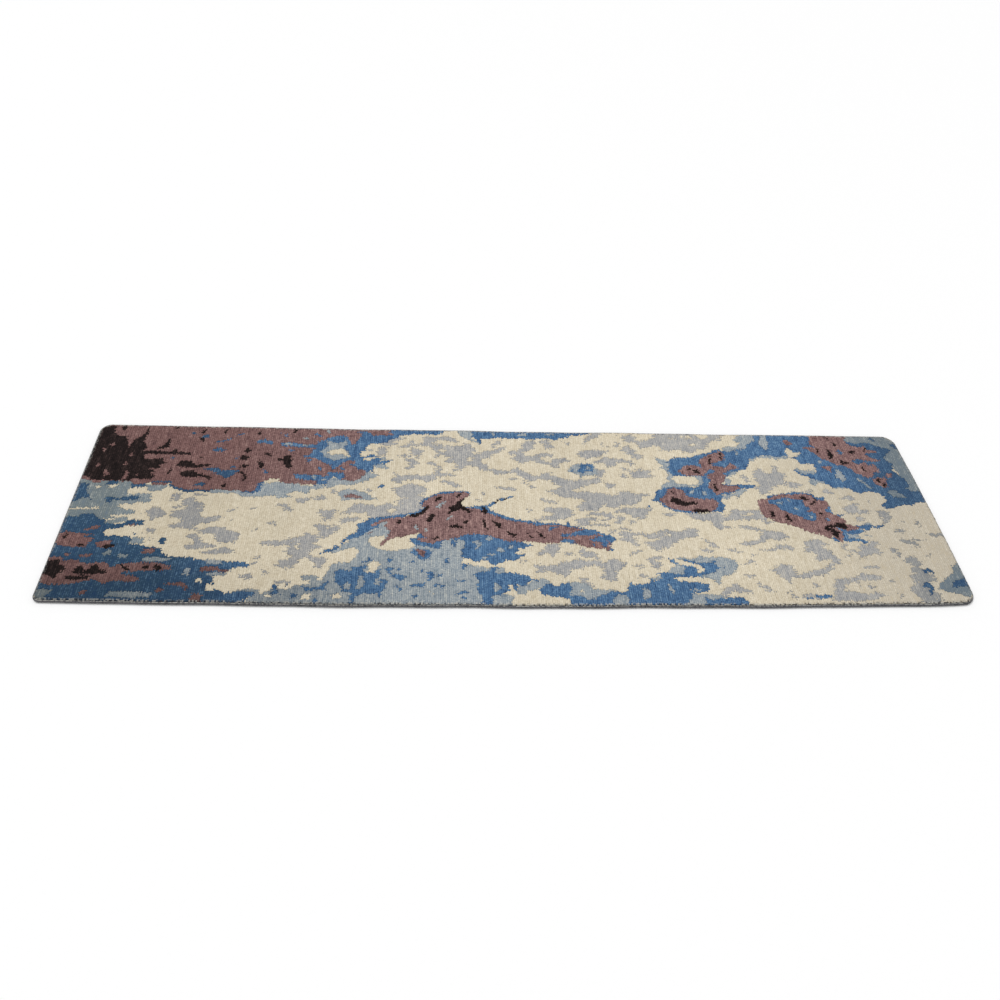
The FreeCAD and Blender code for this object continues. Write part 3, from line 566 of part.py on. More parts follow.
MAUVE_FIELDS = [
    [(0, 52.5), (2, 51), (6, 49.5), (8, 50.5), (17, 50.5), (17.5, 49.3), (22.5, 49.5), (23.5, 50.5),
     (25, 49), (29, 49), (30.5, 50), (33, 48), (36, 47), (46, 47), (54, 46.7), (59, 46.5), (60, 48),
     (60.2, 50.5), (62.8, 51.6), (63.8, 52.8), (67.5, 52.8), (67.3, 51.8), (70, 50.6), (74.7, 50.7),
     (75, 49.8), (80, 50.5), (81, 50.5), (80.3, 52.2), (75, 52.6), (72.5, 53.5), (71.9, 55.3),
     (76.9, 55), (84.2, 54.6), (83.8, 56.2), (84.6, 57.2), (87.8, 56), (89.4, 56.4), (89.8, 54.6),
     (88.6, 52.8), (90, 53), (92, 52.2), (96.3, 53.8), (97.3, 56.6), (96.7, 58.6), (95.1, 58.2),
     (93.7, 59.8), (90.2, 60.6), (92.9, 61.5), (92.7, 62.7), (90.2, 62.9), (88, 61.3), (86.2, 57.8),
     (85.2, 58.4), (84.8, 60.2), (82.2, 61), (81.6, 62.1), (79.8, 62.5), (79, 63.5), (74.3, 64.1),
     (74.7, 64.7), (77.1, 65.3), (77.1, 66.9), (78.5, 68.9), (73.1, 69.3), (66, 69.7), (65.8, 71.1),
     (69.1, 71.5), (74.7, 70.7), (78.7, 70.4), (78.7, 72.1), (81, 72.9), (82.2, 74.6), (86.2, 75.8),
     (88.2, 75.6), (89.8, 74.8), (91.3, 70.7), (92.5, 71.7), (93.7, 73.7), (94.3, 75.6), (94.1, 77),
     (91.7, 78), (97.1, 78.1), (97.3, 76.8), (99.7, 76.2), (103.7, 76.1), (106.2, 76.4), (106.2, 77),
     (104.8, 77.8), (104.8, 79.9), (0, 79.9)],
    [(0, 25.5), (3, 27.3), (5.5, 26.5), (12.5, 26.2), (7, 25.3), (12, 24.3), (10, 22), (10, 20.5),
     (3, 20.5), (1, 22)],
    [(7, 28), (10, 29.5), (12.5, 30), (12.5, 28.8), (9.5, 27.8)],
    [(19.5, 30), (24, 30.9), (24, 30.1)],
    [(12, 22), (17, 24), (18, 23.5), (17.5, 22), (20, 20.8), (15, 20.3)],
    [(28, 18.5), (29, 20.5), (32, 20), (31.5, 18.3)],
    [(9, 16.5), (9.5, 17.8), (13, 17.4), (12.5, 16.2)],
    [(4, 16.8), (4.5, 17.8), (6.5, 17.5), (6, 16.7)],
    [(0, 15.8), (3, 16.5), (5, 15), (9, 15.3), (12, 13.8), (18, 14.5), (20, 12.5), (24, 14.2),
     (33, 14.8), (38.5, 13.3), (38.8, 12), (32, 11), (28, 11), (24.5, 10.5), (24, 9.5), (29, 8.8),
     (30.5, 7.7), (29, 6.8), (22.5, 7), (19.5, 5.8), (15.5, 7.5), (9, 5.3), (3, 5.3), (0, 6.8)],
    [(38, 6.2), (43.5, 6.9), (45, 5), (46, 3), (43.5, 5), (39, 5.7)],
    [(36, 3), (36.5, 4.3), (38.5, 4), (38, 2.8)],
    [(13, 1.5), (13.6, 3.5), (15.5, 3), (15, 1.4)],
    [(46.5, 0.3), (47.5, 2.3), (50.5, 2), (50, 0.3)],
    [(47.5, 11.4), (48.5, 13), (53, 13), (54, 12), (56.8, 11.9), (56.8, 11)],
    [(90.4, 45.3), (92.5, 46.3), (95, 45.8), (97.5, 44.3), (95, 43.9), (90.5, 44.7)],
    [(100.3, 31.3), (102, 32.8), (104.5, 34.3), (109, 35.2), (113.5, 36), (117, 37.2), (119, 39),
     (117.5, 41), (118.3, 43.3), (120.8, 45.2), (123, 46.2), (127, 46.2), (129, 47.3), (133.5, 47.4),
     (134.2, 46), (132.5, 44.5), (131.3, 43), (131.3, 40.5), (136, 39.6), (139.5, 38.2), (143, 36.8),
     (147, 34.8), (152, 33.7), (155, 33.2), (157, 31.9), (160, 32.8), (165, 32.4), (172, 31),
     (175.8, 29.5), (178, 29), (180, 27), (182, 24), (181, 22.4), (181, 20.9), (179.5, 22),
     (173, 22.7), (171, 24), (168, 25), (165.2, 26.5), (165, 24.6), (158, 24.3), (156, 25), (147, 25.2),
     (144, 26), (142, 27.3), (139, 27.8), (136, 28), (133.5, 27.8), (130, 26.5), (124, 25), (122, 24),
     (119.5, 24), (116.5, 25.2), (116.5, 26), (119.5, 26.5), (116.3, 28), (113.5, 27.2), (109.5, 26.2),
     (106.5, 24.5), (104.5, 22.6), (104.1, 23.6), (106, 25.8), (107.3, 29), (105, 31), (106.8, 33.6),
     (104, 33), (102.5, 31.5)],
    [(99.8, 28), (101.4, 29.6), (101.2, 28)],
    [(116, 21.8), (119, 20.5), (118.8, 18), (117.5, 18.5), (116.6, 20.3)],
    [(220, 63.5), (221.5, 66.5), (225.5, 68.5), (227.5, 69), (228.5, 70.3), (230, 70), (230.7, 68.5),
     (230.3, 66.3), (229, 65), (225.3, 63.5), (224.8, 62), (227.5, 62.3), (229.5, 61.5), (232.3, 64),
     (233.5, 62.5), (234.5, 61), (231, 60.3), (229.5, 58.8), (228, 58.5), (229, 57.2), (227.5, 54),
     (226.5, 53), (228, 52.3), (232, 52.3), (233, 51.3), (229.5, 48.9), (226, 49.2), (223.8, 47.5),
     (222.8, 48), (223, 49.3), (221.5, 50.3), (221.5, 52.5), (222.3, 54.4), (222, 57.5), (225, 59),
     (224.5, 60.8), (221.5, 58.3), (220.3, 57), (218.5, 56.7), (214, 57), (211, 59), (213.5, 61.5),
     (215.5, 62.2), (218.5, 62.3), (220.8, 61.5)],
    [(202, 45), (202, 44), (203.5, 42.8), (205, 41), (207.5, 40), (212, 39.3), (214, 38.7),
     (219.5, 38.9), (222, 41), (223, 43.5), (221.8, 45.5), (218, 45.2), (214.5, 45.8), (212.5, 46.5),
     (212, 48), (210.5, 50), (208.5, 50.8), (205.5, 50), (204.5, 47)],
    [(237.5, 43.8), (238, 45), (240, 45.7), (243, 46), (245, 47.3), (248, 48), (252, 47.8),
     (255.5, 48.3), (258, 48), (259.8, 45.5), (263.3, 44.5), (263.5, 43), (263, 41), (261.5, 41),
     (262, 39.5), (264.5, 38.3), (267.5, 36), (267.5, 33.5), (270, 33.3), (271.3, 32), (269.5, 31),
     (267, 30.8), (263, 32), (264.5, 30), (265, 28), (263, 25.3), (260, 28.3), (259.8, 27),
     (258.5, 27.3), (257, 28.5), (254, 29.8), (251.5, 30.3), (250.5, 31.5), (246.5, 33.5),
     (242.3, 34.4), (240.5, 36), (238.3, 37), (237.8, 40)],
    [(265.5, 79.9), (281.5, 79.9), (282.2, 77.5), (280.5, 77.3), (281.5, 75.3), (282.5, 73.5),
     (286, 73.3), (287.5, 74.2), (288, 72), (290, 71.5), (291.5, 71.8), (291.3, 70.3), (286.3, 70),
     (289, 66.8), (291.5, 66.3), (289.5, 65.5), (280.5, 66.3), (279.8, 65.2), (282, 64), (285, 65.3),
     (286.3, 62.8), (288, 64.5), (289.2, 61.5), (287, 59.3), (285, 57), (283.5, 56.8), (279.5, 59),
     (278.5, 61), (276, 63.3), (273, 63), (270.5, 66.2), (267.5, 67), (266.8, 69), (264, 71.8),
     (262.5, 71.8), (263.2, 72.8), (267.5, 73), (266, 75), (266.8, 77)],
    [(256, 75.5), (256.5, 77), (257.3, 77), (259, 75.5), (258.8, 74), (256.8, 73.8)],
    [(267, 62), (268.3, 62.8), (271.2, 62.5), (270, 59.5), (268.5, 60.8)],
    [(290.8, 58), (291.5, 59), (293.5, 59), (293, 57.5), (291.5, 57)],
    [(284, 54.8), (286.5, 56.8), (290, 57), (289, 53), (289.5, 52), (287.8, 51.8), (284.5, 53.8)],
    [(284, 59.3), (287, 61), (289.4, 60), (286.5, 58.8)],
]

BLUE_IN_MAUVE = [
    [(32.7, 75.2), (33.5, 76.5), (34.4, 75.9), (33.8, 75)],
    [(36, 73), (37, 74.6), (39.8, 75.4), (39, 73.8), (37.4, 72.9)],
    [(42, 71.5), (44, 72.2), (47.5, 73.3), (46.5, 72.2), (43.5, 71.1)],
    [(48.5, 74.7), (50, 75.6), (52.5, 75.8), (51.5, 74.9)],
    [(56.5, 70.8), (58, 72.6), (60, 73), (62.4, 72), (62.4, 70.3), (60, 71)],
    [(42, 66.5), (43.4, 68.3), (45, 67.8), (47, 66.9), (45.5, 66.2)],
    [(27.5, 62.2), (28.5, 63.2), (30, 62.8), (29, 62)],
    [(50, 62.2), (51, 63.5), (52, 62.8)],
    [(49.5, 57.6), (50, 59), (51.7, 58.6), (51, 57.5)],
    [(40, 57), (45.5, 57.8), (47, 56.5), (53.5, 56.5), (51, 54), (48.5, 53), (44, 55.8)],
    [(38, 49), (40, 50.3), (43, 50), (42, 48.8)],
    [(23.5, 50.4), (27, 51), (32, 50.9), (30, 50.1)],
    [(61, 57.4), (62.4, 56.4), (63, 55.4), (61.8, 55.6)],
    [(61.6, 75.2), (61.8, 76), (62.5, 75.7)],
    [(66.2, 74.8), (66.8, 76.2), (67.7, 75.6), (67.3, 74.6)],
    [(64.2, 76), (65, 76.8), (65.2, 76.1)],
    [(77, 76), (78.4, 76.9), (79.8, 75.2), (79.2, 74.8)],
    [(69.1, 67.3), (69.7, 68.3), (70.5, 67.4), (69.9, 66.3)],
    [(75.5, 62.6), (76.2, 63.2), (77.5, 62.3), (77, 61.3)],
    [(80.4, 58.5), (81, 59.2), (82, 58.2), (81.3, 57.2)],
    [(88, 58.3), (88.6, 59.3), (89.6, 58.3), (88.8, 57.7)],
    [(23.5, 25.6), (23.8, 27.4), (24.6, 26.4)],
    [(32.5, 22.4), (33, 25.2), (35, 24.4), (34.5, 22.2)],
    [(161, 30), (161.3, 31.6), (165, 32), (163.5, 31)],
    [(165, 27.5), (166, 28.8), (168, 28.3), (170, 29.8), (172.5, 30.2), (176, 30.4), (178, 28.6),
     (177, 28), (170.5, 28), (168, 27.6)],
    [(164.8, 25.7), (166, 26.6), (169.5, 25.8), (169.8, 24.6), (167, 25)],
    [(175, 26), (178, 27.8), (180, 27.6), (181, 24), (179, 23), (178.5, 24.8), (177, 25.4)],
    [(175.3, 23.8), (176.5, 24.4), (176.3, 23)],
    [(275.8, 70.5), (276.3, 72), (277.3, 71.5), (277.8, 69.5), (277, 68.8)],
    [(281, 66.3), (283, 67), (284, 65.8), (282.3, 64.3)],
    [(286, 59.2), (288, 59.9), (289.5, 59), (287.5, 58)],
    [(241.5, 44.5), (243, 45.3), (249, 46.3), (252, 45.5), (254.3, 45.3), (254.5, 43.3), (256.5, 41),
     (254.5, 39.7), (257, 39), (258, 37), (257.5, 35.5), (255, 35.2), (253, 36), (251.5, 37.3),
     (249.5, 38), (248, 39.5), (245.3, 40.7), (244, 42.4), (241.8, 43.5)],
    [(260.8, 35), (261.2, 36.6), (262, 36), (261.7, 34.9)],
    [(10.3, 63), (11, 64.3), (12, 63.4)],
]

PALE_IN_MAUVE = [
    [(81.4, 78.3), (82, 79), (83.2, 77.2), (82.6, 76.7)],
    [(73.2, 73.9), (74, 74.4), (75.4, 74), (74.5, 73.5)],
    [(115, 30.6), (116, 31.8), (116.6, 29.8), (115.8, 29.4)],
    [(118.9, 29), (119.2, 31.4), (119.9, 30.8), (119.7, 29)],
    [(121.8, 40), (124.5, 42.5), (126.2, 43.1), (125, 41.5), (123.3, 39.8)],
    [(125.7, 34.5), (127, 35.6), (128.5, 37.1), (128, 35.5), (126.6, 34.2)],
    [(249, 45.6), (250, 45.2), (249.2, 44.2)],
    [(254.7, 37.2), (255.4, 38), (256.3, 37), (255.4, 36.4)],
    [(250.2, 41.6), (251.8, 41.3), (251.2, 39.8)],
    [(281, 77.6), (282, 78), (282.5, 76.4), (281.3, 76.4)],
    [(245, 44), (247, 44.3), (246.5, 43.2), (244.8, 43.2)],
]

DARK_FIGURES = [
    [(0.4, 79), (5, 78.5), (5.5, 76), (6, 74), (8, 73.5), (10.5, 73.5), (11, 71), (12, 69),
     (12.5, 67), (13, 71), (14.5, 73), (15.5, 73.5), (16.5, 75), (17, 79), (17.6, 76), (16.5, 71),
     (18, 69), (18.5, 67.5), (17.5, 66), (34.5, 65.5), (34.5, 64.4), (19, 64.4), (19, 62), (22, 61.5),
     (25, 62.5), (27.3, 59.5), (25, 59), (25.5, 57.5), (21.5, 56.8), (24.5, 55.3), (22.5, 55),
     (25, 53), (23, 52), (17, 51.8), (16.5, 50.8), (10, 50.8), (3.5, 51.2), (1, 52.8), (0.4, 57)],
    [(7, 77.2), (8, 79), (9.3, 78.4), (9, 76.8)],
    [(26.5, 77.6), (27, 78.9), (28.1, 78.3)],
    [(35.5, 76), (37, 77.8), (38, 77.4), (37, 75.8)],
    [(35.5, 73.6), (37, 73.8), (38.6, 71.6), (37.6, 71.4)],
    [(44.4, 76), (44.6, 78), (45.4, 77.6), (45.2, 76)],
    [(56.3, 75.2), (57, 77), (57.9, 77.5), (57.4, 75.4)],
    [(26, 73), (26, 68.5), (24.5, 67), (22.5, 66.8), (22.3, 68), (24, 69), (25, 71.5)],
    [(27.3, 65.6), (28.6, 67.5), (29.8, 66.8), (29, 65.5)],
    [(37.5, 62.9), (38.3, 63.7), (39.3, 63.2), (38.4, 62.6)],
    [(31, 59), (32, 61.2), (35.5, 61), (38, 59.3), (43, 59.8), (42, 58.8), (37, 57.6), (31, 58.3)],
    [(32.7, 55), (34, 56), (37, 56.5), (39.5, 54.8), (43, 54), (44.5, 52.3), (43.5, 51.8), (42, 53),
     (34, 53.3)],
    [(28.5, 54.6), (28.8, 57.3), (29.7, 56.6), (29.5, 54.4)],
    [(52.4, 67), (53.5, 67.3), (54.1, 68.8), (54.7, 67.4), (55.9, 67), (54.8, 66.3), (54.3, 65.4),
     (53.6, 66.4)],
    [(52, 62.5), (53.4, 64.3), (55.8, 63.6), (54.4, 61.5)],
    [(52.6, 58.2), (53.5, 59.8), (55.7, 59.3), (54.6, 58)],
    [(52.8, 55.5), (54.4, 54.6), (55, 52.4), (54.6, 51), (55.9, 52.4), (55.4, 54.8), (53.6, 56.2)],
    [(48, 48.2), (48.8, 50.5), (49.8, 49.8), (49.3, 48)],
    [(58.7, 61), (59.5, 62.5), (60.4, 61), (61.1, 59.6), (60.8, 57.7), (59.6, 58)],
    [(60.2, 65.4), (60.2, 66.3), (61.2, 66), (63.2, 64.8), (62.6, 64.5)],
    [(69.2, 76.9), (69.8, 78.3), (71.1, 78.6), (70.4, 76.9)],
    [(65.4, 62.7), (67.1, 63), (67.8, 64.7), (69.9, 65), (70.3, 63), (71.7, 62.6), (70.4, 62),
     (70.9, 59), (69.8, 58.2), (68.3, 59.2), (67.5, 60.5), (67.8, 61.6), (65.2, 62.1)],
    [(2, 24), (2.4, 26), (3.1, 25.4), (2.8, 23.8)],
    [(7, 21), (8, 21.9), (9.2, 21.4), (8.2, 20.7)],
    [(15, 20.5), (15.8, 21.9), (19.5, 22), (18.5, 20.6), (16.8, 20.2)],
    [(0.4, 14.8), (4, 15.2), (4, 13), (6, 12.5), (6.5, 11), (5, 10.2), (4, 7.2), (2.8, 8.5),
     (0.4, 10)],
    [(9, 10.2), (10, 13), (11, 13), (12.5, 10.8), (14, 12.5), (15.5, 13.8), (16.5, 12), (19.5, 10.8),
     (19, 9.8), (11, 9.3)],
    [(7, 8.1), (9, 8.9), (15, 9), (14.5, 8.2), (12, 7.2), (7.5, 7)],
    [(22.8, 13.8), (24.5, 13.2), (26.5, 11.6), (26, 10.9), (24, 12.2)],
    [(29.5, 12), (30.5, 13.6), (32, 13), (31.4, 11.7)],
    [(33.5, 11.6), (33.6, 13.8), (35.3, 13.3), (35, 11.4)],
    [(109.3, 31.7), (109.6, 33), (110.6, 34.5), (111.4, 33.7), (110.4, 32.4)],
    [(112.8, 35.9), (114.5, 36.8), (116.5, 37.3), (118.3, 39.2), (119.2, 41), (119.9, 40.6),
     (119.8, 38.8), (117.5, 36.6), (115, 35.3)],
    [(119.3, 33.4), (119.3, 35), (120, 36.2), (121, 37.3), (122, 36.8), (121, 34.5), (120.4, 33.1)],
    [(121.5, 43.3), (122.5, 45), (125, 45.2), (124, 43.8), (122.5, 43)],
    [(129, 45), (130.5, 46.8), (132.3, 47), (131, 45.6), (129.7, 44.8)],
    [(126.8, 39.6), (129, 41.5), (130.3, 43), (132, 44.5), (132.8, 44.3), (131.3, 43), (131.3, 41.3),
     (133, 40), (135, 37.8), (134.4, 37.4), (131.5, 39.4), (127, 37.2), (125.8, 37), (127.5, 38.2)],
    [(127, 31), (128.5, 32), (130, 32.5), (132, 29.8), (130, 31), (128.5, 30.7)],
    [(131.3, 32.6), (132.5, 33.7), (134.3, 34), (133, 32.7)],
    [(138.3, 32.8), (138.5, 34), (139.2, 34.7), (139.4, 33), (140.5, 29.3), (139.7, 29.8),
     (139, 31.8)],
    [(138.3, 40.4), (138.5, 38), (139.5, 37), (140.2, 38.4), (139.8, 40.2)],
    [(141.8, 33.8), (142.3, 34.6), (144, 33.5), (145.2, 31.5), (144, 30.8), (142.8, 32.5)],
    [(146.2, 29.3), (147, 29.8), (148, 28.7), (149.5, 28.3), (149.3, 27), (147, 28.2)],
    [(154.2, 28.2), (155.1, 27.4), (155.3, 25.2), (154.6, 26.3)],
    [(156, 29.8), (157.8, 29.1), (159.8, 26.6), (158.6, 26.4), (157.3, 28.3)],
    [(152.6, 28.6), (153.2, 29.1), (154, 29), (153.4, 28.4)],
    [(121.5, 25.5), (122.3, 26.7), (124, 26.8), (122.4, 25.2)],
    [(142.5, 42.3), (143.5, 43.9), (144.5, 44.3), (144, 43), (143, 42.1)],
    [(146.2, 44), (146.8, 44.9), (147.6, 44.5), (147, 43.7)],
    [(205.8, 43.5), (206.5, 45), (208, 45.8), (211.5, 44), (215.6, 43.5), (215, 42.5), (210, 41.8)],
    [(206.2, 45.8), (206.7, 46.5), (207.4, 46.2), (206.8, 45.2)],
    [(206.4, 48.3), (207, 49.1), (207.6, 48.6), (207, 47.7)],
    [(212.5, 39.8), (214.5, 40.4), (219, 40.1), (219.5, 39.1), (217, 38.6), (214.3, 38.7)],
    [(223.8, 49.3), (223, 50.3), (223.2, 53.2), (224, 53), (224, 51), (225, 50.3)],
    [(224, 63.5), (224.7, 67.6), (225.4, 67), (225.1, 64.5), (224.8, 63)],
    [(228.6, 66), (228.8, 69.3), (229.5, 69.2), (229.4, 66.6), (229, 65.8)],
    [(215.2, 60.3), (216, 60.9), (216.9, 60.4), (216, 59.9)],
    [(217, 58.7), (216.8, 59.8), (218.5, 60), (219.3, 60.8), (219.5, 58.5), (218.7, 58.1)],
    [(253.8, 46), (254.5, 47), (256.5, 46.8), (257, 45.4), (255.8, 45)],
    [(257, 42.9), (258.4, 44.2), (258.8, 46), (259.5, 45.8), (259.4, 44), (258.3, 42.6)],
    [(286, 53.8), (286.3, 56.2), (288.5, 56.6), (287.2, 55.4), (287.1, 54)],
    [(287.2, 52), (287.8, 53.8), (289, 53.4), (288.4, 52.3)],
    [(273, 78), (273.4, 79), (274, 78.2), (273.5, 77.2)],
    [(275, 76), (275.8, 76), (276.6, 74.3), (276.2, 73.4), (275.2, 74.4)],
    [(267.1, 69.2), (268, 72.5), (268.6, 71.5), (267.8, 68.7)],
    [(271.3, 67.2), (272, 69), (271.7, 71.6), (272.6, 71.8), (273.8, 68.5), (272, 66.2)],
    [(275, 66.1), (275.8, 66.1), (276.4, 65), (279, 65.4), (277.3, 63.8), (276, 63.6), (275.2, 64.7)],
    [(280.8, 70.6), (281.2, 71.5), (283.5, 71.4), (282.5, 69.9), (281.4, 69.7)],
    [(282.4, 60.3), (282.8, 62.3), (283.6, 62.4), (283.7, 60.1)],
    [(286.8, 71.3), (287.5, 73.2), (288.2, 73.2), (287.4, 71)],
    [(258.4, 31.8), (259.8, 33), (262, 33.1), (263.5, 34), (266.5, 34.1), (267.5, 32.5), (266.4, 31.8),
     (267, 30.9), (264.5, 32), (260.6, 32.3), (263.5, 30), (262.4, 26.6), (261.3, 28), (260.2, 30.6)],
    [(266.2, 35), (267.3, 35.7), (267.4, 34.9)],
    [(246.1, 36), (246.3, 38.1), (247.4, 37.8), (248.4, 34.4), (247.3, 34.8)],
    [(241.2, 37.3), (241.4, 40.6), (242.6, 39), (242.6, 36.9)],
    [(258.2, 38.5), (259.5, 39.1), (260.4, 38.5), (259.3, 37.9)],
]

MAUVE_IN_DARK = [
    [(5.4, 68.4), (6, 69.5), (7.1, 69.2), (6.6, 68.2)],
    [(3.4, 64.8), (3.6, 67), (4.3, 66.8), (4.2, 64.7)],
    [(13.4, 63), (13.6, 64.7), (14.3, 64.5), (14.1, 62.9)],
    [(12.6, 58.3), (12.8, 60.5), (13.7, 60.2), (13.4, 58.2)],
    [(3.4, 57.5), (3.6, 59.3), (4.7, 59), (4.4, 57.4)],
    [(7.2, 53), (7.4, 56), (8.6, 55.8), (8.4, 52.9)],
    [(13.9, 51.5), (14.1, 55.8), (15.3, 55.4), (15, 51.4)],
    [(18.1, 53.2), (18.3, 54.6), (18.9, 54.3), (18.7, 53)],
    [(19.5, 62.2), (20, 64), (23, 63.8), (22.5, 62.2)],
]

LAYERS = [
    ("pile_grey", GREY_MOTTLES),
    ("pile_grey", GREY_MOTTLES_RIGHT),
    ("pile_ivory", IVORY_IN_GREY),
    ("pile_pale_blue", PALE_FIELDS),
    ("pile_ivory", IVORY_IN_PALE),
    ("pile_blue", BLUE_FIELDS),
    ("pile_pale_blue", PALE_IN_BLUE),
    ("pile_ivory", IVORY_IN_BLUE),
    ("pile_mauve", MAUVE_FIELDS),
    ("pile_blue", BLUE_IN_MAUVE),
    ("pile_pale_blue", PALE_IN_MAUVE),
    ("pile_dark_brown", DARK_FIGURES),
    ("pile_mauve", MAUVE_IN_DARK),
]

# Four corners of the rug, counterclockwise from the front right: centre signs, radius, first angle.
CORNERS = [
    (1, -1, CORNER_FRONT_RIGHT, 270),
    (1, 1, CORNER_BACK_RIGHT, 0),
    (-1, 1, CORNER_BACK_LEFT, 90),
    (-1, -1, CORNER_FRONT_LEFT, 180),
]


def corner_points(corner, inset):
    """The points of one rounded corner, on an outline lying inset millimetres inside the rug's edge."""
    side_x, side_y, radius, first = corner
    centre_x = side_x * (LENGTH / 2 - radius)
    centre_y = side_y * (WIDTH / 2 - radius)
    points = []
    for step in range(CORNER_STEPS + 1):
        angle = math.radians(first + 90.0 * step / CORNER_STEPS)
        x = centre_x + (radius - inset) * math.cos(angle)
        y = centre_y + (radius - inset) * math.sin(angle)
        points.append((x, y))
    return points


def rug_outline(inset):
    """The whole outline of the rug, moved inwards."""
    points = []
    for corner in CORNERS:
        points += corner_points(corner, inset)
    return points


def flat_face(points, z):
    wire = [FreeCAD.Vector(x, y, z) for x, y in points]
    return Part.Face(Part.makePolygon(wire + wire[:1]))


def block(x0, x1, y0, y1, z0, z1):
    return Part.makeBox(x1 - x0, y1 - y0, z1 - z0, FreeCAD.Vector(x0, y0, z0))


def save(node, solids):
    Part.makeCompound(solids).exportStep("parts/" + node + ".step")
    print(node, len(solids))


# ---- pile: one group of patches for each yarn colour ----


def set_straight(u, v):
    """Where a point of the drawing lies on the straight rug, in millimetres from its middle.

    The drawing shows the rug as it lies, a little stretched and with its front edge bowed out.
    What runs to the border of the drawing runs on under the edge of the rug.
    """
    u = u - OVERRUN if u < BORDER else u
    u = u + OVERRUN if u > LENGTH / 10 - BORDER else u
    v = v - OVERRUN if v < BORDER else v
    v = v + OVERRUN if v > WIDTH / 10 - BORDER else v
    metres = (u - LENGTH / 20) / 100
    nearness = 1 - v * 10 / WIDTH
    along = DRAWING_SHIFT - DRAWING_STRETCH * metres - DRAWING_DRIFT * metres ** 2
    across = (FRONT_BOW - FRONT_CURVE * metres ** 2) * nearness
    return (u + along) * 10 - LENGTH / 2, (v + across) * 10 - WIDTH / 2


def patch_face(outline):
    points = [set_straight(u, v) for u, v in outline]
    return flat_face(points, WARP_TOP)


def merged(shapes):
    """One shape without the seams between touching patches."""
    joined = shapes[0]
    if len(shapes) > 1:
        joined = joined.multiFuse(shapes[1:])
    return joined.removeSplitter()


pile_area = flat_face(rug_outline(EDGE_WIDTH + EDGE_GAP), WARP_TOP)
fields = {"pile_ivory": []}
covered = []
for colour, outlines in reversed(LAYERS):
    layer = merged([patch_face(outline) for outline in outlines]).common(pile_area)
    visible = layer
    if covered:
        visible = layer.cut(covered)
    fields.setdefault(colour, []).append(visible)
    covered.append(layer)
fields["pile_ivory"].append(pile_area.cut(covered))

for colour, shapes in fields.items():
    patches = merged(shapes)
    solids = []
    for face in patches.Faces:
        if face.Area > SMALLEST_FIELD:
            solids.append(face.extrude(FreeCAD.Vector(0, 0, PILE_TOP - WARP_TOP)))
    save(colour, solids)


# ---- foundation: warps along the rug, a weft across it under every row of knots ----


def reach(across, half, near, far, inset):
    """How far a yarn runs towards an end before it meets the edge, with the corner's rounding."""
    lost = 0.0
    for edge, radius in ((-across, near), (across, far)):
        inner = radius - inset
        depth = edge - (half - radius)
        if depth > 0:
            lost = inner - math.sqrt(max(inner * inner - depth * depth, 0.0))
    return lost


inset = EDGE_WIDTH + EDGE_GAP + 1.0
limit_x = LENGTH / 2 - inset
limit_y = WIDTH / 2 - inset

warps = []
for number in range(-int(limit_y / WARP_PITCH), int(limit_y / WARP_PITCH) + 1):
    y = number * WARP_PITCH
    outer = y + math.copysign(WARP_WIDTH / 2, y)
    left = reach(outer, WIDTH / 2, CORNER_FRONT_LEFT, CORNER_BACK_LEFT, inset)
    right = reach(outer, WIDTH / 2, CORNER_FRONT_RIGHT, CORNER_BACK_RIGHT, inset)
    if abs(outer) < limit_y:
        warps.append(block(-limit_x + left, limit_x - right, y - WARP_WIDTH / 2, y + WARP_WIDTH / 2,
                           WEFT_TOP + 0.02, WARP_TOP - 0.02))
save("warp_yarns", warps)

wefts = []
weft_limit = limit_x - WEB_LENGTH - 1.0
for number in range(-int(weft_limit / KNOT_ROW), int(weft_limit / KNOT_ROW) + 1):
    x = number * KNOT_ROW
    outer = x + math.copysign(WEFT_WIDTH / 2, x)
    front = reach(outer, LENGTH / 2, CORNER_FRONT_LEFT, CORNER_FRONT_RIGHT, inset)
    back = reach(outer, LENGTH / 2, CORNER_BACK_LEFT, CORNER_BACK_RIGHT, inset)
    if abs(outer) < weft_limit:
        wefts.append(block(x - WEFT_WIDTH / 2, x + WEFT_WIDTH / 2, -limit_y + front, limit_y - back,
                           0.0, WEFT_TOP))
save("weft_yarns", wefts)

# ---- ends: the last rows of plain weave, turned under and sewn down ----

for side, sign, front, back in (
    ("left", -1, CORNER_FRONT_LEFT, CORNER_BACK_LEFT),
    ("right", 1, CORNER_FRONT_RIGHT, CORNER_BACK_RIGHT),
):
    ends = sorted((sign * limit_x, sign * (limit_x - WEB_LENGTH)))
    y0 = -WIDTH / 2 + front
    y1 = WIDTH / 2 - back
    save("end_web_" + side, [block(ends[0], ends[1], y0, y1, STITCH_DEPTH, WEFT_TOP)])
    stitch_x = sign * (limit_x - WEB_LENGTH + 3.0)
    stitches = []
    y = y0 + STITCH_PITCH / 2
    while y + STITCH_LENGTH < y1:
        stitches.append(block(stitch_x - STITCH_WIDTH / 2, stitch_x + STITCH_WIDTH / 2,
                              y, y + STITCH_LENGTH, 0.0, STITCH_DEPTH))
        y += STITCH_PITCH
    save("hem_stitches_" + side, stitches)

# ---- edges: a cord wrapped closely with grey yarn ----


def octagon(centre, middle, width, height, chamfer):
    """Section of an edge: pairs of (distance in from the edge, height above the floor)."""
    d0 = centre - width / 2
    d1 = centre + width / 2
    z0 = middle - height / 2
    z1 = middle + height / 2
    return [(d0 + chamfer, z0), (d1 - chamfer, z0), (d1, z0 + chamfer), (d1, z1 - chamfer),
            (d1 - chamfer, z1), (d0 + chamfer, z1), (d0, z1 - chamfer), (d0, z0 + chamfer)]


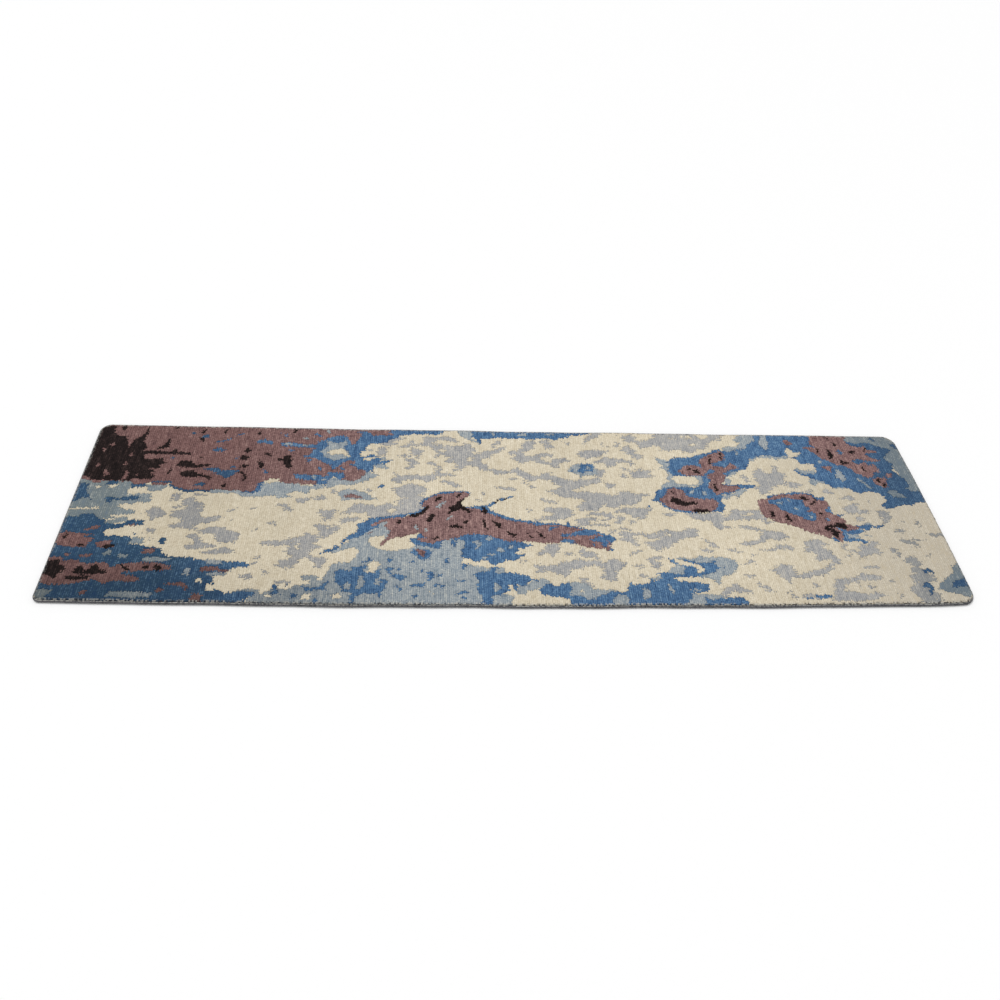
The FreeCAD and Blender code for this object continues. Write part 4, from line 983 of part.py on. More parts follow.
def edge_band(run, sections):
    """Solid carried along the edge. run(inset) gives its stations; a second section is its bore."""
    faces = []
    rings = []
    for section in sections:
        rails = []
        for inset_here, z in section:
            rails.append([FreeCAD.Vector(x, y, z) for x, y in run(inset_here)])
        for one, two in zip(rails, rails[1:] + rails[:1]):
            for step in range(len(one) - 1):
                corners = [one[step], one[step + 1], two[step + 1], two[step], one[step]]
                faces.append(Part.Face(Part.makePolygon(corners)))
        rings.append(rails)
    for end in (0, -1):
        wires = []
        for rails in rings:
            ring = [rail[end] for rail in rails]
            wires.append(Part.makePolygon(ring + ring[:1]))
        faces.append(Part.Face(wires))
    solid = Part.Solid(Part.Shell(faces))
    if solid.Volume < 0:
        solid.reverse()
    return solid


def run_front(inset_here):
    return corner_points(CORNERS[3], inset_here) + corner_points(CORNERS[0], inset_here)


def run_back(inset_here):
    return corner_points(CORNERS[1], inset_here) + corner_points(CORNERS[2], inset_here)


def run_left(inset_here):
    x = -LENGTH / 2 + inset_here
    return [(x, WIDTH / 2 - CORNER_BACK_LEFT - EDGE_GAP), (x, -WIDTH / 2 + CORNER_FRONT_LEFT + EDGE_GAP)]


def run_right(inset_here):
    x = LENGTH / 2 - inset_here
    return [(x, -WIDTH / 2 + CORNER_FRONT_RIGHT + EDGE_GAP), (x, WIDTH / 2 - CORNER_BACK_RIGHT - EDGE_GAP)]


wrap = octagon(EDGE_WIDTH / 2, EDGE_HEIGHT / 2, EDGE_WIDTH, EDGE_HEIGHT, EDGE_CHAMFER)
bore_size = CORD_SIZE + 2 * EDGE_GAP
bore = octagon(EDGE_WIDTH / 2, EDGE_HEIGHT / 2, bore_size, bore_size, bore_size * 0.29)
cord = octagon(EDGE_WIDTH / 2, EDGE_HEIGHT / 2, CORD_SIZE, CORD_SIZE, CORD_SIZE * 0.29)
for side, run in (("front", run_front), ("back", run_back), ("left", run_left), ("right", run_right)):
    save("overcast_" + side, [edge_band(run, [wrap, bore])])
    save("edge_cord_" + side, [edge_band(run, [cord])])
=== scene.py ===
import math

import bpy
import numpy as np
from mathutils import Matrix, Vector


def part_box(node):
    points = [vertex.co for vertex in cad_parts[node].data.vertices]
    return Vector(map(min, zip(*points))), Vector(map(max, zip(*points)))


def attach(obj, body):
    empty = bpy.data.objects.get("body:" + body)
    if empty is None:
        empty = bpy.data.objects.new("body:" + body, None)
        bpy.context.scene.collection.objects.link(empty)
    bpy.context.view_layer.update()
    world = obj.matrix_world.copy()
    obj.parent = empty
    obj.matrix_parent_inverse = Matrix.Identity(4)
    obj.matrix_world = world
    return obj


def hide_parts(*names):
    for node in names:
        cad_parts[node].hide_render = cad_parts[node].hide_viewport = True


# Hand-knotted wool runner. Metres, in the frame's own axes: X along the rug, Z up.

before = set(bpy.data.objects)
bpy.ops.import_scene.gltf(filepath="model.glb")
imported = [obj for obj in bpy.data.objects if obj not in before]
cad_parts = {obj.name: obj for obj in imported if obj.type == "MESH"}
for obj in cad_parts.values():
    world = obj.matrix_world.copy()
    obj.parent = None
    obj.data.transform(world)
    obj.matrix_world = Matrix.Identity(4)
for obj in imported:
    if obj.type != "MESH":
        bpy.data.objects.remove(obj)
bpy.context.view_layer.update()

YARNS = ("ivory", "grey", "pale_blue", "blue", "mauve", "dark_brown")
SIDES = ("front", "back", "left", "right")

# The knots, the grid that the drawing is read on, and the rows that rib the pile.
KNOTS_LONG = 746
KNOTS_WIDE = 196
DRAWING_CELL = 0.002
RIB_PITCH = 0.0068

# What counts as a patch's top face, and as an area, a length and a distance of nothing.
TOP_TOLERANCE = 0.0001
NO_AREA = 1e-9
NO_LENGTH = 1e-6
NO_DISTANCE = 1e-5

# How far the outlines step: knot by knot, over a few knots, and at random. Grey on ivory steps further.
STEPS_LONG = (0.0042, 0.0030, 0.0012)
STEPS_WIDE = (0.0036, 0.0016, 0.0010)
RAGGED_LONG = 2.4
RAGGED_WIDE = 1.3

# How far the pile leans out over the edge, and the strip along the edge where it does.
PILE_FLARE = 0.0045
FRONT_FLARE = 0.001
RIGHT_FLARE = 0.0062
FLARE_REACH = 0.02

# How far a knot's centre may lie outside the pile's outline before the knot is left out.
OUTLINE_SLACK = 0.0005

# The rim, where wraps of edge yarn show between the knots, and the strips at both ends that show fewer.
RIM = 0.0045
END_STRIP = 0.01
END_WRAPS = 0.5

# The pile's cut tops: how far they lie under its full height, and how they rise, fall and shift.
TRIM = 0.0012
ROUNDING = 0.0022
ROUNDING_REACH = 0.009
KNOT_RISE = 0.00045
TUFT_RISE = 0.00045
SWELL_RISE = 0.0005
KNOT_SHIFT = 0.0006
YARN_DROP = {"ivory": 0.0, "grey": 0.0001, "pale_blue": 0.0001, "blue": 0.0002, "mauve": 0.0002,
             "dark_brown": 0.0009}

# The foundation cloth: its cuts, its clearance from the floor, and the step over the turned ends.
CLOTH_LONG = 250
CLOTH_WIDE = 66
CLOTH_CLEARANCE = 0.0002
STEP_BEFORE_END = 0.0004
STEP_HALF = 0.0002

# The edge bands: the gap between neighbours, their lift off the floor, and the yarn wrapped round them.
EDGE_GAP = 0.0002
EDGE_LIFT = 0.0002
CORNER_STEPS = 24
WRAP_PITCH = 0.0045
WRAP_STATIONS = 5
WRAP_AROUND = 14
WRAP_RIDGE = 0.0007
WRAP_SLANT = 0.6
GROOVE_DEPTH = 0.0012
GROOVE_ANGLE = math.radians(48)
GROOVE_SPREAD = math.radians(16)
CREST_ANGLE = math.radians(100)
CREST_SPREAD = 0.6
WOUND_SHAPE = 0.7

# The cord inside each edge, and the turned ends with their stitches.
CORD_RADIUS = 0.0016
CORD_RIDGE = 0.0003
CORD_TWIST = 0.012
CORD_SPACING = 0.004
CORD_AROUND = 8
CORD_STRANDS = 2
STITCH_PITCH = 0.020
STITCH_LENGTH = 0.009
STITCH_AROUND = 8
STITCH_RINGS = 9
STITCH_SHAPE = 0.4
STITCH_TIP = 0.05
WEB_CUTS = (8, 240)
WEB_RIB = 0.0002

# How the rug lies out of true: its bowed front, its dipping back, its slow waves, and its two ends.
BOW = 0.0155
WAVES = ((0.0012, 9.0, 0.6), (0.0008, 23.0, 2.0))
BACK_SAG = 0.0042
SAG_MIDDLE = -0.55
SAG_RATE = 1.2
RIGHT_END = (-0.006, 0.031, -0.020)
LEFT_END = 0.0035
FRONT_TUCK = 0.006
TUCK_START = 0.87

# ---- sizes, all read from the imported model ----

pile_boxes = [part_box("pile_" + yarn) for yarn in YARNS]
edge_boxes = {side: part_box("overcast_" + side) for side in SIDES}
HALF_LONG = edge_boxes["right"][1].x
HALF_WIDE = edge_boxes["back"][1].y
PILE_TOP = max(high.z for low, high in pile_boxes)
PILE_FOOT = min(low.z for low, high in pile_boxes)
PILE_INSET = HALF_WIDE - max(high.y for low, high in pile_boxes)
EDGE_WIDE = edge_boxes["left"][1].x - edge_boxes["left"][0].x
EDGE_HIGH = edge_boxes["left"][1].z - edge_boxes["left"][0].z

# Each corner's signs, its radius, and the angle where its arc starts, going round from the front right.
CORNERS = (
    (1, -1, edge_boxes["right"][0].y + HALF_WIDE - EDGE_GAP, 270),
    (1, 1, HALF_WIDE - edge_boxes["right"][1].y - EDGE_GAP, 0),
    (-1, 1, HALF_WIDE - edge_boxes["left"][1].y - EDGE_GAP, 90),
    (-1, -1, edge_boxes["left"][0].y + HALF_WIDE - EDGE_GAP, 180),
)


def lay(points):
    """Points of the straight rug, moved to where they are on the rug as it lies."""
    x = points[:, 0]
    y = points[:, 1]
    nearness = (HALF_WIDE - y) / (2 * HALF_WIDE)
    bow = BOW * (1 - (x / HALF_LONG) ** 2) * nearness
    wave = sum(size * np.sin(x * rate + start) for size, rate, start in WAVES)
    sag = BACK_SAG * np.cos(SAG_RATE * (x - SAG_MIDDLE)) * (1 - nearness)
    tuck_part = np.clip((x / HALF_LONG - TUCK_START) / (1 - TUCK_START), 0, 1)
    tuck = FRONT_TUCK * tuck_part ** 2 * nearness ** 3
    points[:, 1] = y - bow - wave * (1 - (x / HALF_LONG) ** 2) - sag + tuck
    right_end = RIGHT_END[0] + RIGHT_END[1] * nearness + RIGHT_END[2] * nearness ** 2
    points[:, 0] = (x + right_end * np.clip(x / HALF_LONG, 0, 1) ** 3
                    + LEFT_END * np.clip(-x / HALF_LONG, 0, 1) ** 3)
    return points


def smooth_noise(shape, cells, seed):
    """Seeded noise from -1 to 1 on a grid, varying over the given number of cells each way."""
    rows, columns = shape
    rng = np.random.default_rng(seed)
    coarse = rng.uniform(-1, 1, (int(rows / cells[0]) + 3, int(columns / cells[1]) + 3))
    a = np.arange(rows) / cells[0]
    b = np.arange(columns) / cells[1]
    ai = a.astype(int)
    bi = b.astype(int)
    af = (a - ai)[:, None]
    bf = (b - bi)[None, :]
    af = af * af * (3 - 2 * af)
    bf = bf * bf * (3 - 2 * bf)
    low = coarse[ai][:, bi] * (1 - bf) + coarse[ai][:, bi + 1] * bf
    high = coarse[ai + 1][:, bi] * (1 - bf) + coarse[ai + 1][:, bi + 1] * bf
    return low * (1 - af) + high * af


def new_object(name, vertices, faces, smooth=True):
    """A mesh object from an (n, 3) array and an (m, 4) array of vertex numbers."""
    mesh = bpy.data.meshes.new(name)
    mesh.vertices.add(len(vertices))
    mesh.vertices.foreach_set("co", np.asarray(vertices, np.float32).ravel())
    mesh.loops.add(faces.size)
    mesh.loops.foreach_set("vertex_index", np.asarray(faces, np.int32).ravel())
    mesh.polygons.add(len(faces))
    mesh.polygons.foreach_set("loop_start", np.arange(0, faces.size, faces.shape[1], dtype=np.int32))
    mesh.polygons.foreach_set("use_smooth", np.full(len(faces), smooth))
    mesh.update(calc_edges=True)
    mesh.validate()
    piece = bpy.data.objects.new(name, mesh)
    bpy.context.scene.collection.objects.link(piece)
    return piece


def mark(piece, name, values):
    """A number at every vertex, which the materials read."""
    layer = piece.data.attributes.new(name, "FLOAT", "POINT")
    layer.data.foreach_set("value", np.asarray(values, np.float32))


# Room left round the rug on its flat map, in metres, and round the map, as a share of it.
MAP_ROOM_LONG = 0.02
MAP_ROOM_WIDE = 0.03
MAP_BORDER = 0.01


def lay_flat_map(piece):
    """A top-down map for the bake: the left half of the rug in the lower half, the right in the upper."""
    mesh = piece.data
    layer = mesh.uv_layers.new(name="OFBake")
    points = np.zeros(len(mesh.vertices) * 3)
    mesh.vertices.foreach_get("co", points)
    points = points.reshape(-1, 3)
    loops = np.zeros(len(mesh.loops), np.int32)
    mesh.loops.foreach_get("vertex_index", loops)
    centres = points[loops.reshape(-1, 4)].mean(axis=1)
    right = np.repeat(centres[:, 0] > 0, 4)
    x = points[loops, 0]
    y = points[loops, 1]
    half = HALF_LONG + MAP_ROOM_LONG
    u = np.where(right, x, x + half) / half
    v = (y + HALF_WIDE + MAP_ROOM_WIDE) / (2 * HALF_WIDE + 2 * MAP_ROOM_WIDE)
    uv = np.stack([MAP_BORDER + (1 - 2 * MAP_BORDER) * u,
                   MAP_BORDER + (0.5 - 2 * MAP_BORDER) * v + 0.5 * right], axis=1)
    layer.data.foreach_set("uv", uv.astype(np.float32).ravel())


# ---- the drawing: which yarn each knot has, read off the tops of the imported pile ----


def draw_yarn(drawing, yarn_number, node):
    """Marks the cells of the drawing that the node's top faces cover."""
    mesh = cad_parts[node].data
    mesh.calc_loop_triangles()
    points = np.array([v.co[:] for v in mesh.vertices])
    triangles = points[np.array([t.vertices[:] for t in mesh.loop_triangles])]
    triangles = triangles[triangles[:, :, 2].min(axis=1) > PILE_TOP - TOP_TOLERANCE][:, :, :2]
    cells = (triangles + (HALF_LONG, HALF_WIDE)) / DRAWING_CELL
    for a, b, c in cells:
        x0, y0 = np.floor(np.minimum(np.minimum(a, b), c) - 0.5).astype(int).clip(0)
        x1, y1 = np.ceil(np.maximum(np.maximum(a, b), c) + 0.5).astype(int)
        gx = np.arange(x0, x1)[:, None] + 0.5
        gy = np.arange(y0, y1)[None, :] + 0.5
        area = (b[0] - a[0]) * (c[1] - a[1]) - (b[1] - a[1]) * (c[0] - a[0])
        if abs(area) < NO_AREA:
            continue
        s = ((b[0] - a[0]) * (gy - a[1]) - (b[1] - a[1]) * (gx - a[0])) / area
        t = ((c[1] - a[1]) * (gx - a[0]) - (c[0] - a[0]) * (gy - a[1])) / area
        inside = (s >= -NO_LENGTH) & (t >= -NO_LENGTH) & (s + t <= 1 + NO_LENGTH)
        part = drawing[x0:x1, y0:y1]
        part[inside[:part.shape[0], :part.shape[1]]] = yarn_number


drawing = np.zeros((round(2 * HALF_LONG / DRAWING_CELL), round(2 * HALF_WIDE / DRAWING_CELL)), np.int8)
for number, yarn in enumerate(YARNS):
    draw_yarn(drawing, number, "pile_" + yarn)

inner_long = HALF_LONG - PILE_INSET
inner_wide = HALF_WIDE - PILE_INSET
knot_x = (np.arange(KNOTS_LONG) + 0.5) / KNOTS_LONG * 2 * inner_long - inner_long
knot_y = (np.arange(KNOTS_WIDE) + 0.5) / KNOTS_WIDE * 2 * inner_wide - inner_wide
grid = (KNOTS_LONG, KNOTS_WIDE)
rng = np.random.default_rng(7)

# The weaver steps the outlines from knot to knot: teeth a knot or two deep, both ways.
shift_x = (STEPS_LONG[0] * smooth_noise(grid, (4.0, 1.0), 1)
           + STEPS_LONG[1] * smooth_noise(grid, (8.0, 2.5), 2)
           + STEPS_LONG[2] * rng.uniform(-1, 1, grid))
shift_y = (STEPS_WIDE[0] * smooth_noise(grid, (1.0, 4.0), 3)
           + STEPS_WIDE[1] * smooth_noise(grid, (2.5, 2.5), 4)
           + STEPS_WIDE[2] * rng.uniform(-1, 1, grid))
margin = int(PILE_INSET / DRAWING_CELL) + 1


def knotted(loose_x, loose_y):
    """The yarn of every knot, with the outlines stepped that much along the rug and across it."""
    cell_x = ((knot_x[:, None] + loose_x * shift_x + HALF_LONG) / DRAWING_CELL).astype(int)
    cell_y = ((knot_y[None, :] + loose_y * shift_y + HALF_WIDE) / DRAWING_CELL).astype(int)
    cell_x = cell_x.clip(margin, drawing.shape[0] - margin - 1)
    cell_y = cell_y.clip(margin, drawing.shape[1] - margin - 1)
    return drawing[cell_x, cell_y]


# The grey mottles on the ivory ground are more ragged than the rest.
GROUND = (YARNS.index("ivory"), YARNS.index("grey"))
yarn_of = knotted(1.0, 1.0)
ragged = knotted(RAGGED_LONG, RAGGED_WIDE)
yarn_of = np.where(np.isin(yarn_of, GROUND) & np.isin(ragged, GROUND), ragged, yarn_of)


def pull_in(x, y, inset):
    """Moves points that lie outside the rug's outline, drawn in by inset, onto that outline."""
    x = np.clip(x, -HALF_LONG + inset, HALF_LONG - inset)
    y = np.clip(y, -HALF_WIDE + inset, HALF_WIDE - inset)
    for sign_x, sign_y, radius, _ in CORNERS:
        centre_x = sign_x * (HALF_LONG - radius)
        centre_y = sign_y * (HALF_WIDE - radius)
        dx = x - centre_x
        dy = y - centre_y
        in_corner = (dx * sign_x > 0) & (dy * sign_y > 0)
        distance = np.hypot(dx, dy)
        far = in_corner & (distance > radius - inset)
        scale = np.where(far, (radius - inset) / np.maximum(distance, NO_LENGTH), 1.0)
        x = np.where(far, centre_x + dx * scale, x)
        y = np.where(far, centre_y + dy * scale, y)
    return x, y


def outside(x, y, inset):
    """True where a point lies beyond the rug's outline, drawn in by inset."""
    near_x, near_y = pull_in(x, y, inset)
    return np.hypot(x - near_x, y - near_y) > NO_DISTANCE


centre_x, centre_y = np.meshgrid(knot_x, knot_y, indexing="ij")
yarn_of = np.where(outside(centre_x, centre_y, PILE_INSET - OUTLINE_SLACK), -1, yarn_of)

# ---- pile: a piece for each yarn, with a top that rises and falls from knot to knot ----

line_x = np.linspace(-inner_long, inner_long, KNOTS_LONG + 1)
line_y = np.linspace(-inner_wide, inner_wide, KNOTS_WIDE + 1)
foot_x, foot_y = np.meshgrid(line_x, line_y, indexing="ij")
flare_x = np.where(foot_x < 0, PILE_FLARE, RIGHT_FLARE)
flare_y = np.where(foot_y < 0, FRONT_FLARE, PILE_FLARE)
near_end = np.clip((np.abs(foot_x) - inner_long) / FLARE_REACH + 1, 0, 1)
near_side = np.clip((np.abs(foot_y) - inner_wide) / FLARE_REACH + 1, 0, 1)
top_x = foot_x + flare_x * near_end * np.sign(foot_x)
top_y = foot_y + flare_y * near_side * np.sign(foot_y)
foot_x, foot_y = pull_in(foot_x, foot_y, PILE_INSET)
top_x, top_y = pull_in(top_x, top_y, PILE_INSET - flare_x)
lines = foot_x.shape
jitter = rng.uniform(-1, 1, lines)
edge_distance = np.minimum(inner_long - np.abs(foot_x), inner_wide - np.abs(foot_y))
for sign_x, sign_y, radius, _ in CORNERS:
    off_x = (foot_x * sign_x - HALF_LONG + radius).clip(0)
    off_y = (foot_y * sign_y - HALF_WIDE + radius).clip(0)
    near_corner = radius - PILE_INSET - np.hypot(off_x, off_y)
    edge_distance = np.where((off_x > 0) & (off_y > 0), near_corner, edge_distance)
rim = np.clip(1.5 - edge_distance / RIM, 0, 1)
rim = np.where(inner_long - np.abs(foot_x) < END_STRIP, END_WRAPS * rim, rim)
rounding = ROUNDING * np.clip(1 - edge_distance / ROUNDING_REACH, 0, 1) ** 2
top_z = (PILE_TOP - TRIM - rounding + KNOT_RISE * jitter
         + TUFT_RISE * smooth_noise(lines, (5, 5), 11) + SWELL_RISE * smooth_noise(lines, (40, 30), 12))
top_x = top_x + KNOT_SHIFT * rng.uniform(-1, 1, lines)
top_y = top_y + KNOT_SHIFT * rng.uniform(-1, 1, lines)


def pile_piece(number, yarn):
    """The knots of one yarn: their cut tops, and walls down to the foundation round each patch."""
    mine = yarn_of == number
    count = lines[0] * lines[1]
    ids = np.arange(count).reshape(lines)
    i, j = np.nonzero(mine)
    tops = np.stack([ids[i, j], ids[i + 1, j], ids[i + 1, j + 1], ids[i, j + 1]], axis=1)
    padded = np.pad(mine, 1)
    walls = []
    for step, first, second in (
        ((-1, 0), (0, 1), (0, 0)),
        ((1, 0), (1, 0), (1, 1)),
        ((0, -1), (0, 0), (1, 0)),
        ((0, 1), (1, 1), (0, 1)),
    ):
        neighbour = padded[1 + step[0]:1 + step[0] + KNOTS_LONG, 1 + step[1]:1 + step[1] + KNOTS_WIDE]
        a, b = np.nonzero(mine & ~neighbour)
        one = ids[a + first[0], b + first[1]]
        two = ids[a + second[0], b + second[1]]
        walls.append(np.stack([two, one, one + count, two + count], axis=1))
    faces = np.concatenate([tops] + walls)
    top = np.stack([top_x.ravel(), top_y.ravel(), top_z.ravel() - YARN_DROP[yarn]], axis=1)
    foot = np.stack([foot_x.ravel(), foot_y.ravel(), np.full(count, PILE_FOOT)], axis=1)
    points = lay(np.concatenate([top, foot]))
    used, faces = np.unique(faces, return_inverse=True)
    piece = new_object("wool_pile_" + yarn, points[used], faces.reshape(-1, 4))
    mark(piece, "rim", np.concatenate([rim.ravel(), rim.ravel()])[used])
    lay_flat_map(piece)
    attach(piece, "root")
    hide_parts("pile_" + yarn)
    return piece


piles = {yarn: pile_piece(number, yarn) for number, yarn in enumerate(YARNS)}

# ---- foundation: warps and wefts woven into one cloth, under all the pile ----


def closed_faces(shape):
    """The faces of a slab on a grid of that shape, whose underside is numbered after its top."""
    ids = np.arange(shape[0] * shape[1]).reshape(shape)
    top = np.stack([ids[:-1, :-1], ids[1:, :-1], ids[1:, 1:], ids[:-1, 1:]], axis=-1).reshape(-1, 4)
    border = np.concatenate([ids[:-1, 0], ids[-1, :-1], ids[:0:-1, -1], ids[0, :0:-1]])
    after = np.roll(border, -1)
    walls = np.stack([after, border, border + ids.size, after + ids.size], axis=1)
    return np.concatenate([top, top[:, ::-1] + ids.size, walls])


def cloth_piece():
    """One cloth, thinner over the turned ends, which lie under it."""
    web_low, web_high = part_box("end_web_right")
    thinner_from = web_low.x - STEP_BEFORE_END
    lines_x = np.linspace(-HALF_LONG, HALF_LONG, CLOTH_LONG + 1)
    step = np.array([thinner_from - STEP_HALF, thinner_from + STEP_HALF])
    lines_x = np.sort(np.concatenate([lines_x, step, -step]))
    x, y = np.meshgrid(lines_x, np.linspace(-HALF_WIDE, HALF_WIDE, CLOTH_WIDE + 1), indexing="ij")
    underside = np.where(np.abs(x) > thinner_from, web_high.z, CLOTH_CLEARANCE)
    x, y = pull_in(x, y, EDGE_WIDE / 2)
    above = np.stack([x.ravel(), y.ravel(), np.full(x.size, PILE_FOOT)], axis=1)
    below = np.stack([x.ravel(), y.ravel(), underside.ravel()], axis=1)
    points = lay(np.concatenate([above, below]))
    piece = new_object("woven_foundation", points, closed_faces(x.shape), smooth=False)
    lay_flat_map(piece)
    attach(piece, "root")
    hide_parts("warp_yarns", "weft_yarns")
    return piece


cloth = cloth_piece()

# ---- edges: yarn wrapped slantwise over a cord, all round the rug ----


def corner_path(corner, steps):
    """Points along the middle of the edge band round one corner."""
    sign_x, sign_y, radius, first = corner
    inset = EDGE_WIDE / 2
    angles = np.radians(first + np.linspace(0, 90, steps))
    return np.stack([sign_x * (HALF_LONG - radius) + (radius - inset) * np.cos(angles),
                     sign_y * (HALF_WIDE - radius) + (radius - inset) * np.sin(angles)], axis=1)


arcs = [corner_path(corner, CORNER_STEPS) for corner in CORNERS]
RUNS = {
    "front": np.concatenate([arcs[3], arcs[0]]),
    "right": np.stack([arcs[0][-1], arcs[1][0]]),
    "back": np.concatenate([arcs[1], arcs[2]]),
    "left": np.stack([arcs[2][-1], arcs[3][0]]),
}


def along(path, spacing):
    """Evenly spaced points on a path, and the distance of each along it."""
    lengths = np.hypot(*np.diff(path, axis=0).T)
    total = np.concatenate([[0], np.cumsum(lengths)])
    distance = np.linspace(0, total[-1], max(3, int(total[-1] / spacing) + 1))
    return np.stack([np.interp(distance, total, path[:, k]) for k in (0, 1)], axis=1), distance


def tube(name, side, spacing, around, radii, ridge, pitch, slant, groove=0.0):
    """A tube along one side of the rug, ridged as wound yarn is, with a groove along its shoulder."""
    path, distance = along(RUNS[side], spacing)
    forward = np.gradient(path, axis=0)
    forward /= np.hypot(*forward.T)[:, None]
    outward = np.stack([forward[:, 1], -forward[:, 0]], axis=1)
    angle = np.linspace(0, 2 * np.pi, around, endpoint=False)
    phase = distance[:, None] / pitch + slant * angle[None, :] / (2 * np.pi)
    bulge = np.abs(np.sin(np.pi * phase)) ** WOUND_SHAPE
    pinch = np.exp(-((angle - GROOVE_ANGLE) / GROOVE_SPREAD) ** 2)[None, :]
    wide = radii[0] - ridge * (1 - bulge) - groove * pinch
    high = radii[1] - ridge * (1 - bulge) - groove * pinch
    sideways = wide * np.cos(angle)[None, :]
    points = np.empty((len(path), around, 3))
    points[:, :, 0] = path[:, 0:1] + outward[:, 0:1] * sideways
    points[:, :, 1] = path[:, 1:2] + outward[:, 1:2] * sideways
    points[:, :, 2] = EDGE_HIGH / 2 + high * np.sin(angle)[None, :]
    ids = np.arange(len(path) * around).reshape(len(path), around)
    following = np.roll(ids, -1, axis=1)
    faces = np.stack([ids[:-1], ids[1:], following[1:], following[:-1]], axis=-1).reshape(-1, 4)
    near = np.arange(around // 2 - 1)
    cap = np.stack([near, near + 1, around - 2 - near, around - 1 - near], axis=1)
    faces = np.concatenate([faces, cap[:, ::-1], cap + ids[-1, 0]])
    piece = new_object(name, lay(points.reshape(-1, 3)), faces)
    mark(piece, "groove", np.repeat(pinch, len(path), axis=0).ravel())
    crest = np.exp(-((angle - CREST_ANGLE) / CREST_SPREAD) ** 2)[None, :]
    mark(piece, "crest", np.repeat(crest, len(path), axis=0).ravel())
    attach(piece, "root")
    return piece


edges = {}
cords = {}
for side in SIDES:
    edges[side] = tube("wrapped_edge_" + side, side, WRAP_PITCH / WRAP_STATIONS, WRAP_AROUND,
                       (EDGE_WIDE / 2, EDGE_HIGH / 2 - EDGE_LIFT), WRAP_RIDGE, WRAP_PITCH, WRAP_SLANT,
                       groove=GROOVE_DEPTH)
    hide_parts("overcast_" + side)
    cords[side] = tube("twisted_cord_" + side, side, CORD_SPACING, CORD_AROUND,
                       (CORD_RADIUS, CORD_RADIUS), CORD_RIDGE, CORD_TWIST, CORD_STRANDS)
    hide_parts("edge_cord_" + side)

# ---- ends underneath: the plain weave turned under, and its stitches ----


def slab(name, node):
    """A strip of cloth in a node's box, with ribs across its underside."""
    low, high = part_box(node)
    lines_x = np.linspace(low.x, high.x, WEB_CUTS[0] + 1)
    lines_y = np.linspace(low.y, high.y, WEB_CUTS[1] + 1)
    x, y = np.meshgrid(lines_x, lines_y, indexing="ij")
    rib = np.tile(WEB_RIB / 2 * (1 + np.cos(np.arange(x.shape[1]) * np.pi)), x.shape[0])
    above = np.stack([x.ravel(), y.ravel(), np.full(x.size, high.z)], axis=1)
    below = np.stack([x.ravel(), y.ravel(), low.z + rib], axis=1)
    piece = new_object(name, lay(np.concatenate([above, below])), closed_faces(x.shape))
    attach(piece, "root")
    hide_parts(node)
    return piece


def stitch_row(name, node):
    """A row of stitches: short spindles of thread, end to end along a node's box."""
    low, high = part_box(node)
    centre_x = (low.x + high.x) / 2
    centre_z = (low.z + high.z) / 2
    wide = (high.x - low.x) / 2
    tall = (high.z - low.z) / 2
    angle = np.linspace(0, 2 * np.pi, STITCH_AROUND, endpoint=False)
    steps = np.linspace(0, 1, STITCH_RINGS)
    fat = np.maximum(np.sin(np.pi * steps) ** STITCH_SHAPE, STITCH_TIP)
    points = []
    faces = []
    count = round((high.y - low.y - STITCH_LENGTH) / STITCH_PITCH) + 1
    ids = np.arange(len(steps) * STITCH_AROUND).reshape(len(steps), STITCH_AROUND)
    following = np.roll(ids, -1, axis=1)
    one = np.stack([ids[:-1], ids[1:], following[1:], following[:-1]], axis=-1).reshape(-1, 4)
    for number in range(count):
        y = low.y + number * STITCH_PITCH + steps * STITCH_LENGTH
        ring = np.empty((len(steps), STITCH_AROUND, 3))
        ring[:, :, 0] = centre_x + wide * fat[:, None] * np.cos(angle)[None, :]
        ring[:, :, 1] = y[:, None]
        ring[:, :, 2] = centre_z + tall * fat[:, None] * np.sin(angle)[None, :]
        points.append(ring.reshape(-1, 3))
        faces.append(one + number * ids.size)
    piece = new_object(name, lay(np.concatenate(points)), np.concatenate(faces))
    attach(piece, "root")
    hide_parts(node)
    return piece


webs = {}
stitches = {}
for side in ("left", "right"):
    webs[side] = slab("turned_end_" + side, "end_web_" + side)
    stitches[side] = stitch_row("end_stitches_" + side, "hem_stitches_" + side)

# ---- materials ----


def srgb(red, green, blue):
    """An 8-bit screen colour as a linear one."""
    linear = []
    for value in (red, green, blue):
        value = value / 255
        linear.append(value / 12.92 if value <= 0.04045 else ((value + 0.055) / 1.055) ** 2.4)
    return (*linear, 1.0)


